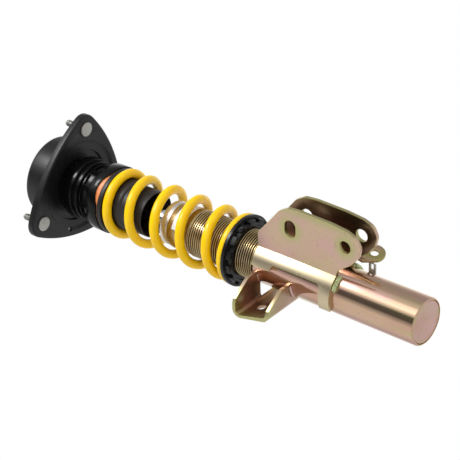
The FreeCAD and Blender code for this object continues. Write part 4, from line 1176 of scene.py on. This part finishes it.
# -------------------- studio
@dataclass
class Studio:
    """Pale floor, soft light from all round and the camera.

    Each pair of panels is a direction in degrees and how bright the sky is there.
    """

    place: Vector = Vector((1.0127, -1.2899, -1.31065))
    forward: Vector = Vector((-0.5089, 0.6604, 0.5522))
    right: Vector = Vector((-0.0252, 0.6298, -0.7763))
    lens: float = 136.96
    floor_drop: float = 2.9
    bright: float = 2.2
    panels: tuple[Point, ...] = (
        (-180, 0.60), (-160, 0.82), (-146, 0.90), (-104, 0.90), (-88, 0.50), (-78, 0.12),
        (-60, 0.14), (-46, 1.2), (-38, 2.2), (-24, 1.9), (-10, 0.9), (20, 0.50), (45, 0.45),
        (64, 0.5), (80, 0.8), (100, 1.25), (135, 1.25), (160, 0.8), (180, 0.60))

    def build(self) -> None:
        """Set up the floor, the lights and the camera."""
        self._floor()
        self._sky()
        self._lamp("key_softbox", turn=-28.0, rise=34.0, reach=1.7, size=0.4, power=14.0)
        self._camera()
        bpy.context.scene.view_settings.view_transform = "Standard"

    def _floor(self) -> None:
        """Plain pale floor, far below the strut."""
        Bench.clear()
        bpy.ops.mesh.primitive_grid_add(x_subdivisions=8, y_subdivisions=8, size=24.0,
                                        location=(0.0, 0.0, -self.floor_drop))
        floor = bpy.context.object
        floor.name = "studio_floor"
        bpy.ops.object.transform_apply(location=True)
        dress(floor, PlainStock("floor_white", (0.86, 0.86, 0.86), (0.83, 0.83, 0.83), 0.7,
                                0.02, 0.0001).material())

    def _sky(self) -> None:
        """Soft light all round: white to the eye, with broad panels in the reflections."""
        sky = WorldShader("soft_studio")
        where = sky.node("TexCoord")
        parts = sky.node("SeparateXYZ", None, {0: Value(sky, where.outputs["Generated"])})
        turn = sky.math("ARCTAN2", Value(sky, parts.outputs[1]), Value(sky, parts.outputs[0]))
        stops = [((degrees + 180) / 360, (value / self.bright,) * 3)
                 for degrees, value in self.panels]
        panels = sky.node("ValToRGB", {"stops": stops}, {0: turn * (1 / math.tau) + 0.5})
        panels.color_ramp.interpolation = "EASE"
        soft = sky.node("Background", None, {
            "Color": Value(sky, panels.outputs[0]), "Strength": self.bright})
        plain = sky.node("Background", None, {"Color": (1.0, 1.0, 1.0)})
        eye = sky.node("LightPath")
        mix = sky.node("MixShader", None, {
            0: Value(sky, eye.outputs["Is Camera Ray"]), 1: Value(sky, soft.outputs[0]),
            2: Value(sky, plain.outputs[0])})
        sky.node("OutputWorld", None, {"Surface": Value(sky, mix.outputs[0])})

    @staticmethod
    def _lamp(name: str, turn: float, rise: float, reach: float, size: float,
              power: float) -> None:
        """A square soft box aimed at the strut's middle.

        Args:
            name: Its name.
            turn: Its direction round the strut, in degrees.
            rise: Its height angle, in degrees.
            reach: Its distance from the strut's middle.
            size: Its side.
            power: Its power in watts.
        """
        middle = (CAD_BOX[0] + CAD_BOX[1]) / 2
        away = Vector((math.cos(math.radians(turn)) * math.cos(math.radians(rise)),
                       math.sin(math.radians(turn)) * math.cos(math.radians(rise)),
                       math.sin(math.radians(rise))))
        light = bpy.data.lights.new(name, "AREA")
        light.size = size
        light.energy = power
        lamp = bpy.data.objects.new(name, light)
        bpy.context.scene.collection.objects.link(lamp)
        lamp.location = middle + away * reach
        lamp.rotation_euler = away.to_track_quat("Z", "Y").to_euler()
        lamp.visible_camera = False

    def _camera(self) -> None:
        """The camera at its viewing angle."""
        data = bpy.data.cameras.new("camera")
        data.lens = self.lens
        data.sensor_width = 36.0
        data.clip_end = 60.0
        camera = bpy.data.objects.new("camera", data)
        bpy.context.scene.collection.objects.link(camera)
        back = -self.forward.normalized()
        right = (self.right - back * self.right.dot(back)).normalized()
        up = back.cross(right)
        turn = Matrix((right, up, back)).transposed().to_4x4()
        camera.matrix_world = Matrix.Translation(self.place) @ turn
        bpy.context.scene.camera = camera


def main() -> None:
    """Build the strut from the top mount down, then the studio."""
    logging.basicConfig(level=logging.INFO, format="%(name)s: %(message)s")
    for part in (TopMount(), UpperSeat(), CoilSpring(), Collar(), StrutBody()):
        LOG.info("building %s", type(part).__name__)
        part.build()
    Studio().build()


if __name__ == "__main__":
    main()
